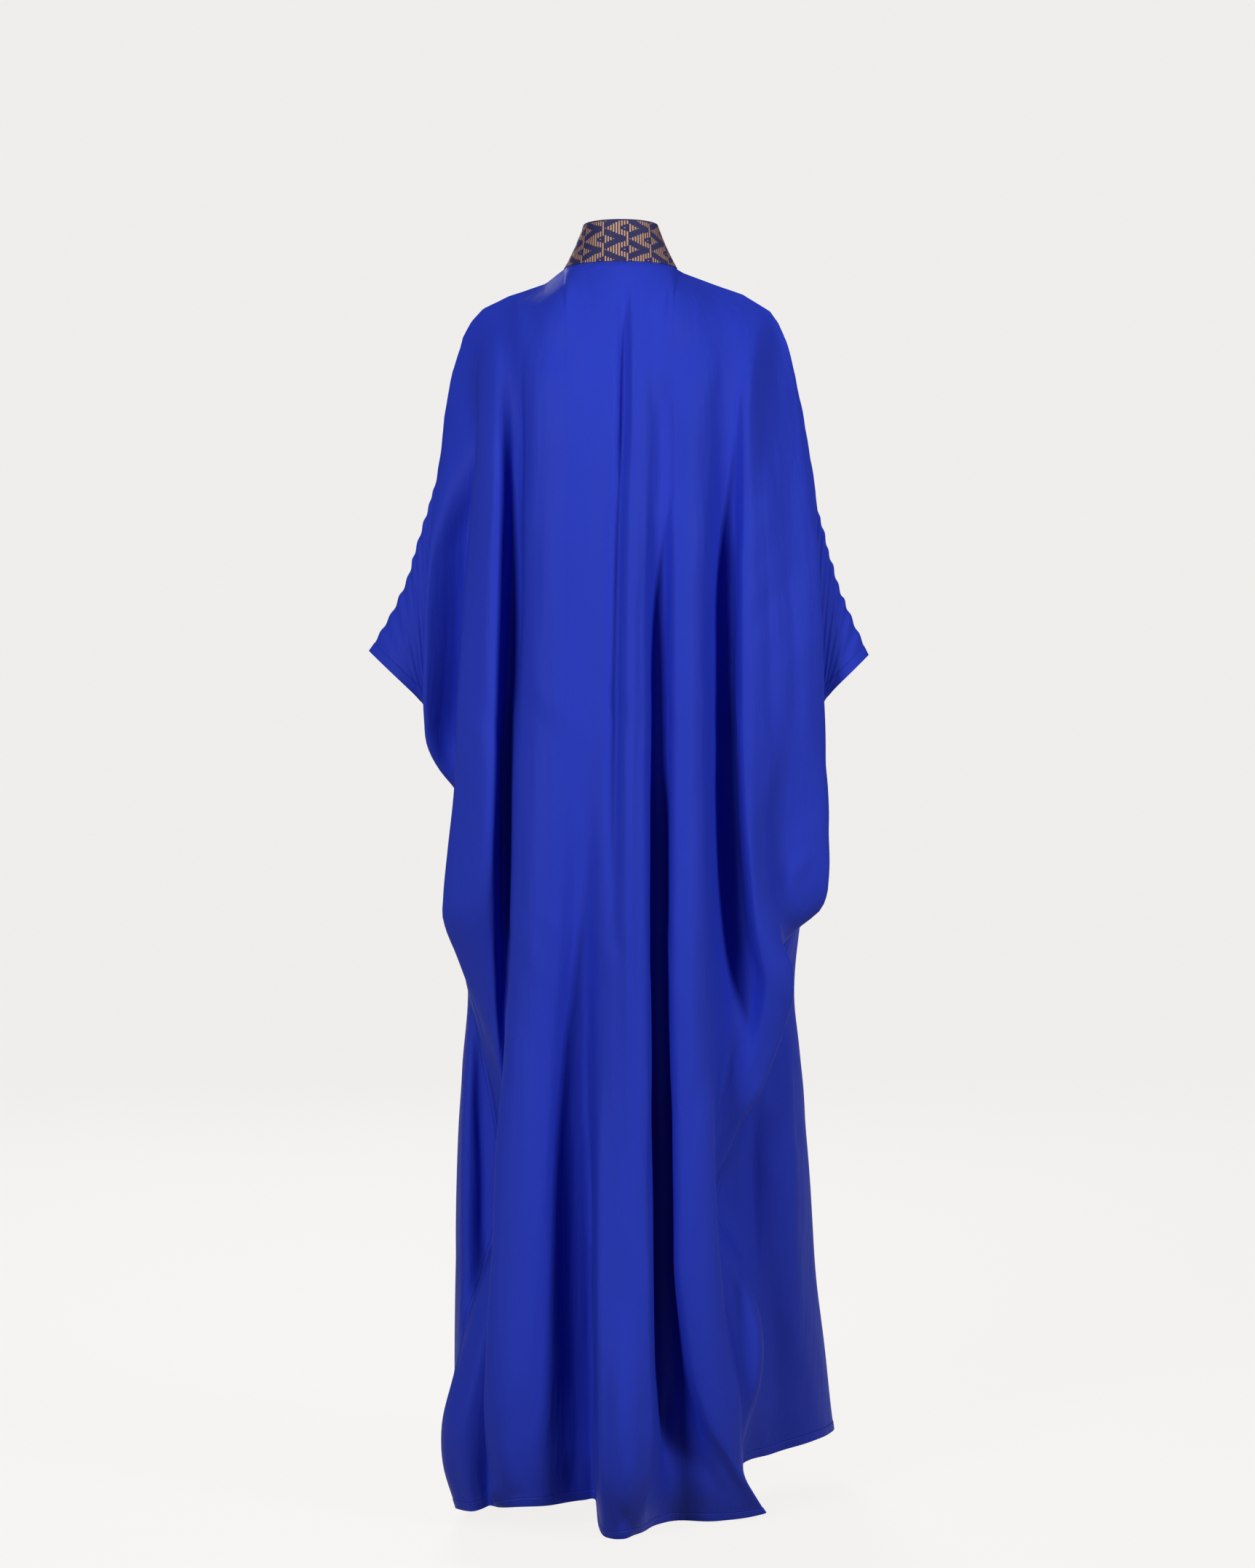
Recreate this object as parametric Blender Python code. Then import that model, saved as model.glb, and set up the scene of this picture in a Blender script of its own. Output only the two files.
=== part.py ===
"""Grand boubou robe: floor-length, blue, with a patterned stand collar, in the hollow form it has when worn.

Each panel is a thin wall through named fold lines. A fold line runs from the shoulder to the hem, and each
of its stations is (drop below the shoulders, side, depth) in millimetres. Side is + towards the wearer's
left, and depth is + towards the wearer's back. The origin is the middle of the neck base.
"""

import math
from collections import namedtuple

import bmesh
import bpy
import numpy as np

MILLIMETRE = 0.001

# Driving dimensions, in millimetres
FLOOR_DROP = 1547.0
CLOTH_THICKNESS = 1.5
COLLAR_THICKNESS = 2.4
SEAM_GAP = 0.3
NECK_DROP = 4.0
NECK_HALF_WIDTH = 69.0
NECK_HALF_DEPTH = 62.5
COLLAR_TOP_DROP = -50.0
COLLAR_TOP_HALF_WIDTH = 45.0
COLLAR_TOP_HALF_DEPTH = 47.0
COLLAR_FRONT_OPENING = 5.0
COLLAR_STEPS = 28
SHOULDER_FORWARD_SLOPE = 0.1
NECK_SLIT_HALF_WIDTH = 2.5
NECK_SLIT_DROP = 300.0
ARMHOLE_DEPTH = 72.0
ARMHOLE_STEPS = 2
ARMHOLE_FULLNESS = 0.8
ROOT_RINGS = 6
SHOULDER_END_OFFSET = 1.4
UNDERARM_OFFSET = 0.6
ROWS = 30
UNDERARM_ROW = 10
TOP_FAN_POWER = 3
HEM_FAN_POWER = 10
TOP_LINE_POWER = 60
LEAST_SPAN = 0.5

# Heights along the shoulder line: side, drop
LEFT_SHOULDER_LINE = ((69, 4), (92, 22), (138, 37), (170, 52), (184, 67), (195, 87), (208, 130), (218, 184),
                      (224, 238), (228, 263))
RIGHT_SHOULDER_LINE = ((69, 4), (77, 9), (119, 24), (152, 35), (185, 55), (195, 69), (205, 92), (216, 131),
                       (224, 172), (232, 222), (240, 263), (244, 300))

Fold = namedtuple("Fold", "name steps top_side stations")

# The back panel, from the left side seam to the right one.
# steps is the number of columns up to the next fold line.
BACK_FOLDS = (
    Fold("left_side_seam", 2, 228,
         ((400, 227, -8), (517, 230, -14), (595, 226, -26), (625, 216, -24), (660, 200, -18),
          (760, 190, -10), (860, 195, -4), (955, 174, -8), (1070, 151, -16), (1130, 144, -14),
          (1210, 158, -6), (1275, 181, 14), (1365, 204, 34), (1430, 219, 33), (1475, 218, 28),
          (1532, 202, 22))),
    Fold("left_wing_edge", 3, 224,
         ((335, 234, 22), (408, 239, 33), (470, 240, 35), (556, 240, 32), (594, 236, 22), (622, 222, 10),
          (645, 203, 2), (760, 187, 3), (860, 192, 10), (955, 170, 16), (1070, 147, 21), (1130, 140, 24),
          (1210, 154, 33), (1275, 175, 42), (1365, 197, 50), (1430, 213, 49), (1475, 212, 44),
          (1530, 196, 38))),
    Fold("left_wing_valley", 2, 205,
         ((200, 178, 26), (325, 185, 15), (450, 191, 10), (573, 197, 11), (642, 196, 24), (760, 199, 21),
          (860, 189, 16), (955, 166, 25), (1070, 142, 32), (1130, 136, 34), (1210, 149, 44),
          (1275, 168, 54), (1365, 188, 63), (1430, 203, 64), (1475, 201, 58), (1529, 188, 50))),
    Fold("left_second_edge", 3, 184,
         ((140, 174, 34), (202, 174, 58), (325, 182, 68), (450, 191, 72), (573, 198, 72), (645, 201, 68),
          (724, 210, 62), (779, 216, 57), (804, 217, 52), (819, 213, 47), (848, 201, 39), (875, 191, 35),
          (955, 162, 37), (1070, 138, 42), (1130, 132, 44), (1210, 144, 54), (1275, 160, 64),
          (1365, 178, 74), (1430, 191, 76), (1475, 188, 71), (1527, 178, 60))),
    Fold("left_second_face", 3, 160,
         ((90, 156, 38), (200, 150, 90), (400, 150, 105), (600, 154, 106), (760, 157, 96), (860, 155, 76),
          (955, 150, 57), (1010, 145, 53), (1070, 137, 50), (1130, 129, 53), (1210, 138, 60),
          (1275, 151, 67), (1365, 165, 73), (1430, 176, 75), (1480, 176, 69), (1525, 170, 58))),
    Fold("left_third_valley", 2, 138,
         ((75, 137, 40), (127, 132, 74), (200, 131, 86), (300, 131, 74), (400, 133, 63), (500, 138, 57),
          (600, 143, 55), (760, 144, 48), (860, 143, 46), (955, 140, 47), (1010, 134, 51), (1070, 129, 57),
          (1130, 127, 63), (1210, 130, 63), (1275, 138, 65), (1365, 149, 66), (1430, 157, 66),
          (1480, 161, 60), (1522, 160, 54))),
    Fold("left_third_groove", 3, 122,
         ((60, 123, 44), (127, 120, 88), (200, 120, 93), (300, 120, 84), (400, 121, 72), (500, 125, 65),
          (570, 131, 62), (621, 134, 60), (760, 135, 53), (860, 134, 51), (967, 134, 56), (1010, 133, 64),
          (1070, 134, 75), (1130, 133, 80), (1210, 136, 80), (1275, 144, 81), (1365, 154, 83),
          (1430, 161, 81), (1480, 160, 73), (1521, 154, 62))),
    Fold("left_third_edge", 3, 106,
         ((55, 108, 50), (127, 111, 99), (300, 112, 117), (480, 115, 121), (643, 123, 120),
          (765, 127, 118), (877, 132, 116), (989, 140, 113), (1063, 147, 111), (1175, 152, 110),
          (1238, 156, 109), (1342, 161, 107), (1403, 163, 102), (1453, 159, 94), (1480, 157, 87),
          (1505, 158, 79), (1520, 148, 71))),
    Fold("left_third_face", 2, 86,
         ((45, 88, 57), (127, 92, 111), (300, 94, 130), (643, 98, 137), (989, 116, 131), (1238, 129, 126),
          (1403, 136, 119), (1480, 134, 103), (1516, 128, 86))),
    Fold("left_back_face", 2, 69,
         ((32, 68, 60), (127, 66, 118), (300, 66, 138), (643, 68, 146), (833, 76, 140), (989, 84, 131),
          (1238, 90, 121), (1403, 92, 110), (1514, 90, 88))),
    Fold("centre_valley_left", 1, 54,
         ((32, 54, 72), (127, 50, 121), (300, 50, 138), (643, 52, 139), (833, 55, 126), (989, 56, 104),
          (1100, 55, 89), (1238, 53, 77), (1403, 51, 68), (1461, 49, 66), (1515, 46, 54))),
    Fold("centre_valley_right", 2, 42,
         ((32, 41, 77), (127, 36, 122), (300, 36, 138), (643, 40, 138), (833, 42, 124), (989, 41, 99),
          (1100, 39, 84), (1238, 37, 72), (1403, 35, 66), (1461, 34, 65), (1515, 32, 50))),
    Fold("strip_left_edge", 2, 24,
         ((32, 22, 84), (127, 17, 123), (300, 16, 140), (643, 20, 144), (833, 24, 143), (989, 26, 143),
          (1155, 27, 146), (1362, 27, 147), (1486, 26, 139), (1515, 21, 129), (1546, 20, 106))),
    Fold("strip_crest", 2, -2,
         ((32, -3, 87), (127, -6, 124), (300, -6, 143), (643, -6, 152), (989, -4, 156), (1238, -3, 158),
          (1486, -4, 154), (1515, -4, 140), (1546, -3, 124))),
    Fold("strip_right_edge", 3, -27,
         ((32, -27, 83), (127, -27, 122), (300, -27, 139), (643, -29, 146), (989, -31, 150),
          (1155, -32, 151), (1320, -34, 150), (1386, -36, 147), (1443, -40, 141), (1477, -38, 135),
          (1514, -29, 122), (1545, -19, 104))),
    Fold("deep_valley_left", 2, -40,
         ((32, -40, 78), (127, -39, 119), (200, -40, 126), (300, -40, 128), (400, -40, 118),
          (480, -40, 109), (570, -40, 104), (621, -40, 100), (673, -40, 89), (724, -40, 87),
          (942, -41, 86), (982, -42, 83), (1036, -42, 70), (1130, -43, 67), (1238, -44, 66),
          (1386, -50, 65), (1444, -58, 66), (1496, -66, 58), (1545, -60, 36))),
    Fold("deep_valley_right", 3, -53,
         ((32, -52, 72), (127, -51, 116), (200, -52, 123), (300, -53, 124), (400, -53, 114),
          (480, -53, 107), (570, -53, 104), (621, -54, 100), (673, -55, 89), (724, -55, 87),
          (942, -56, 86), (982, -57, 83), (1036, -59, 70), (1130, -60, 67), (1238, -62, 66),
          (1300, -67, 65), (1362, -74, 65), (1444, -93, 67), (1496, -107, 57), (1545, -120, 32))),
    Fold("right_strip_left_edge", 2, -69,
         ((32, -66, 61), (127, -64, 111), (300, -65, 128), (616, -64, 134), (840, -64, 136),
          (1000, -66, 133), (1138, -69, 129), (1238, -71, 125), (1300, -79, 118), (1362, -90, 109),
          (1420, -110, 96), (1457, -131, 80), (1480, -144, 66), (1511, -162, 42), (1540, -179, 14))),
    Fold("right_strip_face", 2, -95,
         ((42, -92, 52), (127, -84, 104), (300, -82, 126), (640, -82, 136), (989, -87, 135),
          (1138, -94, 129), (1238, -98, 124), (1362, -116, 107), (1420, -128, 91), (1457, -139, 73),
          (1480, -148, 58), (1511, -161, 32), (1541, -174, 3))),
    Fold("right_strip_right_edge", 3, -122,
         ((52, -114, 44), (127, -106, 94), (300, -100, 114), (490, -98, 122), (640, -98, 124),
          (900, -103, 121), (1080, -112, 114), (1215, -120, 104), (1320, -131, 92), (1385, -144, 78),
          (1420, -147, 70), (1457, -146, 62), (1511, -157, 22), (1542, -167, -5))),
    Fold("right_third_valley", 2, -146,
         ((62, -138, 36), (127, -130, 76), (202, -124, 84), (300, -121, 76), (420, -121, 65),
          (570, -124, 58), (640, -125, 54), (765, -130, 47), (833, -135, 45), (877, -138, 48),
          (940, -135, 56), (1000, -124, 60), (1080, -110, 63), (1140, -105, 65), (1181, -107, 65),
          (1215, -112, 66), (1320, -132, 66), (1400, -146, 61), (1457, -147, 54), (1511, -154, 16),
          (1542, -162, -10))),
    Fold("right_third_foot", 2, -160,
         ((70, -152, 34), (127, -145, 68), (202, -140, 78), (300, -138, 70), (420, -138, 59),
          (640, -140, 48), (765, -148, 40), (833, -155, 40), (877, -160, 44), (940, -154, 52),
          (1000, -138, 56), (1080, -114, 58), (1140, -107, 59), (1181, -110, 60), (1215, -116, 61),
          (1320, -140, 62), (1400, -151, 56), (1457, -149, 47), (1511, -151, 10), (1542, -158, -16))),
    Fold("right_second_face", 3, -178,
         ((85, -168, 34), (127, -160, 62), (300, -151, 90), (500, -148, 103), (640, -150, 105),
          (765, -159, 98), (833, -167, 88), (877, -176, 78), (955, -168, 60), (1020, -150, 52),
          (1080, -119, 50), (1140, -108, 51), (1181, -112, 53), (1215, -121, 54), (1320, -149, 58),
          (1400, -156, 52), (1457, -149, 39), (1511, -148, 4), (1540, -154, -22))),
    Fold("right_second_edge", 2, -196,
         ((200, -178, 50), (400, -182, 78), (600, -180, 88), (709, -174, 84), (767, -180, 78),
          (803, -188, 73), (840, -198, 67), (862, -208, 62), (882, -211, 58), (906, -209, 53),
          (934, -202, 49), (967, -190, 46), (1021, -168, 43), (1059, -144, 41), (1097, -128, 40),
          (1140, -110, 39), (1181, -114, 42), (1215, -130, 45), (1255, -150, 49), (1321, -166, 53),
          (1390, -163, 48), (1430, -154, 38), (1470, -147, 22), (1530, -149, -24))),
    Fold("right_wing_valley", 3, -212,
         ((250, -204, 30), (400, -206, 56), (600, -204, 66), (709, -190, 56), (803, -196, 46),
          (862, -200, 38), (906, -204, 38), (967, -190, 36), (1021, -170, 34), (1059, -147, 32),
          (1097, -131, 31), (1140, -113, 30), (1181, -117, 33), (1215, -136, 36), (1255, -156, 40),
          (1321, -173, 44), (1390, -167, 40), (1430, -156, 29), (1470, -146, 13), (1522, -144, -29))),
    Fold("right_wing_edge", 2, -238,
         ((346, -243, 12), (408, -246, 20), (470, -249, 24), (616, -252, 26), (690, -255, 24),
          (758, -256, 20), (778, -254, 16), (798, -245, 10), (819, -219, 7), (835, -202, 7),
          (880, -196, 16), (906, -203, 24), (967, -188, 25), (1021, -169, 24), (1059, -148, 22),
          (1097, -134, 21), (1140, -116, 21), (1181, -120, 24), (1215, -140, 27), (1255, -159, 30),
          (1321, -175, 33), (1390, -168, 30), (1430, -156, 19), (1470, -144, 4), (1518, -140, -35))),
    Fold("right_side_seam", 0, -244,
         ((400, -238, -8), (532, -238, -14), (606, -238, -26), (650, -239, -22), (690, -240, -18),
          (758, -238, -14), (800, -226, -12), (835, -202, -8), (880, -192, 2), (906, -197, 9),
          (967, -184, 12), (1021, -167, 13), (1059, -149, 12), (1097, -136, 11), (1140, -118, 12),
          (1181, -122, 15), (1215, -141, 18), (1255, -158, 20), (1321, -173, 22), (1390, -167, 19),
          (1430, -155, 9), (1470, -141, -6), (1515, -137, -40))),
)

# The front panel, from the left side seam to the right one. Its two end lines are the side seams above.
FRONT_FOLDS = (
    Fold("left_return", 2, 224,
         ((289, 229, -54), (318, 230, -76), (347, 230, -90), (400, 230, -101), (446, 226, -102),
          (481, 221, -96), (517, 217, -84), (556, 214, -72), (600, 210, -50), (700, 202, -42),
          (800, 198, -36), (900, 189, -22), (1000, 187, -10), (1130, 188, -4), (1220, 192, -2),
          (1320, 200, 0), (1420, 207, -2), (1490, 206, -8), (1530, 200, -8))),
    Fold("left_front_crest", 2, 205,
         ((289, 221, -84), (347, 221, -114), (400, 220, -126), (500, 212, -130), (600, 206, -104),
          (700, 203, -92), (800, 203, -84), (890, 191, -64), (1000, 198, -58), (1130, 204, -58),
          (1260, 206, -56), (1365, 206, -58), (1450, 204, -62), (1520, 200, -64))),
    Fold("left_front_side", 2, 182,
         ((200, 188, -98), (347, 198, -134), (500, 202, -144), (620, 194, -128), (800, 182, -124),
          (1130, 176, -126), (1500, 180, -138))),
    Fold("left_front_fold", 2, 152,
         ((200, 152, -118), (500, 154, -152), (800, 144, -158), (1130, 142, -172), (1492, 150, -196))),
    Fold("left_front_valley", 2, 110,
         ((200, 104, -126), (500, 100, -142), (800, 94, -140), (1130, 90, -142), (1490, 94, -158))),
    Fold("left_chest", 2, 69,
         ((200, 62, -136), (500, 54, -160), (800, 48, -164), (1130, 44, -176), (1490, 46, -204))),
    Fold("left_slit_edge", 1, NECK_SLIT_HALF_WIDTH,
         ((60, NECK_SLIT_HALF_WIDTH, -100), (200, NECK_SLIT_HALF_WIDTH, -134),
          (500, NECK_SLIT_HALF_WIDTH, -148), (800, NECK_SLIT_HALF_WIDTH, -145),
          (1130, NECK_SLIT_HALF_WIDTH, -146), (1490, NECK_SLIT_HALF_WIDTH, -164))),
    Fold("right_slit_edge", 2, -NECK_SLIT_HALF_WIDTH,
         ((60, -NECK_SLIT_HALF_WIDTH, -100), (200, -NECK_SLIT_HALF_WIDTH, -134),
          (500, -NECK_SLIT_HALF_WIDTH, -148), (800, -NECK_SLIT_HALF_WIDTH, -145),
          (1130, -NECK_SLIT_HALF_WIDTH, -146), (1490, -NECK_SLIT_HALF_WIDTH, -164))),
    Fold("right_chest", 2, -69,
         ((200, -62, -136), (500, -56, -160), (800, -54, -165), (1130, -60, -182), (1490, -66, -222))),
    Fold("right_front_valley", 2, -112,
         ((200, -106, -126), (500, -104, -143), (800, -106, -142), (1130, -116, -156), (1490, -130, -196))),
    Fold("right_front_fold", 2, -160,
         ((200, -154, -116), (500, -160, -150), (800, -164, -152), (1130, -182, -186), (1488, -204, -264))),
    Fold("right_front_crest", 2, -214,
         ((250, -218, -80), (322, -225, -106), (374, -221, -132), (497, -218, -142), (600, -226, -126),
          (700, -234, -114), (819, -224, -88), (900, -219, -88), (1000, -227, -104), (1150, -239, -134),
          (1262, -247, -162), (1400, -264, -222), (1486, -275, -254))),
    Fold("right_front_side", 2, -226,
         ((322, -233, -90), (374, -230, -120), (497, -224, -128), (568, -226, -108), (700, -242, -76),
          (800, -226, -56), (900, -206, -46), (1000, -212, -46), (1150, -222, -64), (1300, -233, -96),
          (1482, -250, -146))),
    Fold("right_front_ridge", 2, -232,
         ((322, -238, -72), (374, -236, -106), (420, -235, -116), (497, -228, -112), (568, -225, -90),
          (620, -230, -70), (700, -241, -54), (800, -220, -38), (900, -196, -26), (1022, -184, -20),
          (1150, -180, -27), (1283, -182, -36), (1400, -184, -64), (1490, -190, -100))),
    Fold("right_return", 2, -240,
         ((322, -240, -56), (348, -240, -77), (374, -240, -91), (420, -240, -101), (465, -236, -102),
          (497, -232, -96), (532, -228, -84), (568, -225, -72), (606, -227, -50), (700, -238, -36),
          (800, -222, -26), (900, -193, -10), (1022, -172, -6), (1097, -150, -8), (1150, -138, -8),
          (1283, -162, -6), (1400, -164, -24), (1496, -152, -66))),
)

GATHERS = 7
GATHER_STEPS = 3
GATHER_HEIGHT = 3.0
GATHER_FADE = 0.3
GATHER_SWELL = 0.5
GATHER_SIDEWAYS = 0.6
GATHER_EDGE_POWER = 4
UPPER_EDGE_POWER = 2
CUFF_FULLNESS = 0.7

Sleeve = namedtuple("Sleeve", "name side upper_edge tip lower_corner cuff_bulge")

# Upper edge stations are (side, drop) along the gathered seam, from the shoulder to the cuff.
LEFT_SLEEVE = Sleeve("sleeve_left", 1, ((240, 309), (253, 350), (261, 379), (275, 413), (293, 445)),
                     (314, -44, 475), (240, -36, 545), 28.0)
RIGHT_SLEEVE = Sleeve("sleeve_right", -1, ((-251, 329), (-262, 371), (-273, 405), (-290, 443)),
                      (-309, -42, 480), (-248, -36, 540), 28.0)

BLUE = (0.028, 0.048, 0.48)
COLLAR_NAVY = (0.05, 0.05, 0.16)
CREPE_ROUGHNESS = 0.62
WEAVE_ROUGHNESS = 0.7


def smooth_run(stations, values, at):
    """Cubic run through values at stations, with each slope taken from its neighbours."""
    stations = np.asarray(stations, dtype=float)
    values = np.asarray(values, dtype=float)
    slopes = np.gradient(values, stations, axis=0)
    at = np.clip(at, stations[0], stations[-1])
    index = np.clip(np.searchsorted(stations, at, side="right") - 1, 0, len(stations) - 2)
    span = stations[index + 1] - stations[index]
    share = (at - stations[index]) / span
    rise_start = (1 + 2 * share) * (1 - share) ** 2
    rise_end = share ** 2 * (3 - 2 * share)
    bend_start = share * (1 - share) ** 2
    bend_end = share ** 2 * (share - 1)
    return (values[index] * rise_start + values[index + 1] * rise_end
            + (slopes[index] * bend_start + slopes[index + 1] * bend_end) * span)


def top_point(side):
    """The point of the neck ring or of the shoulder line at this side: (side, depth, drop)."""
    reach = abs(side)
    if reach <= NECK_HALF_WIDTH:
        depth = NECK_HALF_DEPTH * math.sqrt(max(0.0, 1 - (side / NECK_HALF_WIDTH) ** 2))
        return np.array((side, depth, NECK_DROP))
    line = LEFT_SHOULDER_LINE if side > 0 else RIGHT_SHOULDER_LINE
    drop = np.interp(reach, [point[0] for point in line], [point[1] for point in line])
    return np.array((side, -(reach - NECK_HALF_WIDTH) * SHOULDER_FORWARD_SLOPE, drop))


def fold_line(fold, levels, facing):
    """Points of one fold line at each level, fanned out from its top and down to its own hem."""
    top = top_point(fold.top_side)
    if abs(fold.top_side) < NECK_HALF_WIDTH:
        top[1] *= facing
    path = [(top[2], top[0], top[1])] + list(fold.stations)
    drops = np.array([point[0] for point in path])
    fan = (drops[0] - NECK_DROP) * (1 - levels) ** TOP_FAN_POWER
    hem = (drops[-1] - FLOOR_DROP) * levels ** HEM_FAN_POWER
    at = NECK_DROP + levels * (FLOOR_DROP - NECK_DROP) + fan + hem
    at = np.clip(at, drops[0], drops[-1])
    side = smooth_run(drops, [point[1] for point in path], at)
    depth = smooth_run(drops, [point[2] for point in path], at)
    return np.stack((side, depth, at), axis=-1)


def across(lines, steps):
    """Smooth rows through the fold lines, by centripetal spline, with the given columns in each gap."""
    count = len(lines)
    columns = []
    for gap in range(count - 1):
        start, end = lines[gap], lines[gap + 1]
        before = lines[gap - 1] if gap > 0 else 2 * start - end
        after = lines[gap + 2] if gap + 2 < count else 2 * end - start
        knots = [np.zeros(len(start))]
        for first, second in ((before, start), (start, end), (end, after)):
            length = np.linalg.norm(second - first, axis=-1)
            knots.append(knots[-1] + np.sqrt(np.maximum(length, LEAST_SPAN)))
        for step in range(steps[gap]):
            share = step / steps[gap]
            at = knots[1] + (knots[2] - knots[1]) * share
            columns.append(spline_point((before, start, end, after), knots, at))
    columns.append(lines[-1])
    return np.stack(columns, axis=1)


def spline_point(points, knots, at):
    """One point of a centripetal spline through four points, found by repeated blends."""
    def blend(first, second, low, high):
        share = ((at - low) / (high - low))[:, None]
        return first * (1 - share) + second * share
    one = blend(points[0], points[1], knots[0], knots[1])
    two = blend(points[1], points[2], knots[1], knots[2])
    three = blend(points[2], points[3], knots[2], knots[3])
    left = blend(one, two, knots[0], knots[2])
    right = blend(two, three, knots[1], knots[3])
    return blend(left, right, knots[1], knots[2])


def rest_on_top_line(grid, levels, facing):
    """Draw the top row onto the neck ring and shoulder line, and fade the change out just below."""
    within = np.clip(grid[0, :, 0], BACK_FOLDS[-1].top_side, BACK_FOLDS[0].top_side)
    exact = np.array([top_point(side) for side in within])
    on_neck = np.abs(grid[0, :, 0]) < NECK_HALF_WIDTH
    exact[on_neck, 1] *= facing
    change = exact - grid[0]
    return grid + change[None] * ((1 - levels) ** TOP_LINE_POWER)[:, None, None]


def armhole_edges(seam, levels, underarm):
    """The front edge of an armhole: the back edge moved forward, and the same line below the underarm."""
    share = np.clip(levels / underarm, 0, 1)
    forward = ARMHOLE_DEPTH * np.sin(math.pi * share) ** ARMHOLE_FULLNESS
    moved = seam.copy()
    moved[:, 1] -= forward
    return moved


def sheet_normals(grid):
    """Unit normals of a grid of points, one-sided at its edges."""
    down = np.gradient(grid, axis=0)
    along = np.gradient(grid, axis=1)
    normal = np.cross(along, down)
    return normal / np.maximum(np.linalg.norm(normal, axis=-1, keepdims=True), 1e-9)


def unit(vectors):
    """The vectors at unit length."""
    return vectors / np.maximum(np.linalg.norm(vectors, axis=-1, keepdims=True), 1e-9)


def top_row_normals(grid, normals):
    """Top edge faces: level round the neck, and square to the shoulder line beside it."""
    top = grid[0]
    along = np.gradient(top, axis=0)
    on_neck = np.abs(top[:, 0]) < NECK_HALF_WIDTH + 1.0
    flat = np.stack((top[:, 0], top[:, 1], np.zeros(len(top))), axis=-1)
    roof = np.stack((-along[:, 2], np.zeros(len(top)), along[:, 0]), axis=-1)
    roof *= np.sign(-roof[:, 2])[:, None]
    chosen = np.where(on_neck[:, None], unit(flat), unit(roof))
    sign = np.sign(np.sum(chosen * normals[1], axis=-1))[:, None]
    normals[0] = chosen * np.where(sign == 0, 1, sign)
    return normals


def pull_in(grid):
    """Take the seam gap off the two side edges and the top edge of a panel."""
    pulled = grid.copy()
    pulled[:, 0] += unit(grid[:, 1] - grid[:, 0]) * SEAM_GAP / 2
    pulled[:, -1] += unit(grid[:, -2] - grid[:, -1]) * SEAM_GAP / 2
    return pulled


def to_metres(points):
    """(side, depth, drop) in millimetres as world points in metres."""
    return np.stack((points[..., 0], points[..., 1], -points[..., 2]), axis=-1) * MILLIMETRE


def material(name, colour, roughness):
    """A plain cloth material."""
    made = bpy.data.materials.new(name)
    made.use_nodes = True
    shader = made.node_tree.nodes["Principled BSDF"]
    shader.inputs["Base Color"].default_value = (*colour, 1.0)
    shader.inputs["Roughness"].default_value = roughness
    shader.inputs["Metallic"].default_value = 0.0
    return made


def wall(name, grid, normals, thickness, finish, closed=False, left_out=None):
    """A closed wall of even thickness through a grid of points.

    closed joins the last column to the first. left_out marks the cells that stay open.
    """
    rows, columns = grid.shape[:2]
    outer = to_metres(grid + normals * thickness / 2)
    inner = to_metres(grid - normals * thickness / 2)
    mesh = bmesh.new()
    outer_verts = [[mesh.verts.new(point) for point in row] for row in outer]
    inner_verts = [[mesh.verts.new(point) for point in row] for row in inner]
    cells = []
    for row in range(rows - 1):
        for column in range(columns if closed else columns - 1):
            if left_out is not None and left_out(row, column):
                continue
            following = (column + 1) % columns
            cells.append(((row, column), (row, following), (row + 1, following), (row + 1, column)))
    edges = {}
    for cell in cells:
        mesh.faces.new([outer_verts[r][c] for r, c in cell])
        mesh.faces.new([inner_verts[r][c] for r, c in reversed(cell)])
        for start, end in zip(cell, cell[1:] + cell[:1]):
            edges[(start, end)] = True
    for start, end in edges:
        if (end, start) in edges:
            continue
        mesh.faces.new((outer_verts[end[0]][end[1]], outer_verts[start[0]][start[1]],
                        inner_verts[start[0]][start[1]], inner_verts[end[0]][end[1]]))
    loose = [vert for vert in mesh.verts if not vert.link_faces]
    bmesh.ops.delete(mesh, geom=loose, context="VERTS")
    bmesh.ops.triangulate(mesh, faces=mesh.faces[:])
    if mesh.calc_volume(signed=True) < 0:
        bmesh.ops.reverse_faces(mesh, faces=mesh.faces[:])
    data = bpy.data.meshes.new(name)
    mesh.to_mesh(data)
    mesh.free()
    data.materials.append(finish)
    made = bpy.data.objects.new(name, data)
    bpy.context.scene.collection.objects.link(made)
    return made


def panels(levels):
    """The grids of the back and front panels, both from the left side seam to the right one."""
    underarm = levels[UNDERARM_ROW]
    back_lines = [fold_line(fold, levels, 1) for fold in BACK_FOLDS]
    back = across(back_lines, [fold.steps for fold in BACK_FOLDS[:-1]])
    back = rest_on_top_line(back, levels, 1)
    left_edge = armhole_edges(back[:, 0], levels, underarm)
    right_edge = armhole_edges(back[:, -1], levels, underarm)
    front_lines = [left_edge] + [fold_line(fold, levels, -1) for fold in FRONT_FOLDS] + [right_edge]
    front = across(front_lines, [ARMHOLE_STEPS] + [fold.steps for fold in FRONT_FOLDS])
    front = rest_on_top_line(front, levels, -1)
    return back, front


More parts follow.
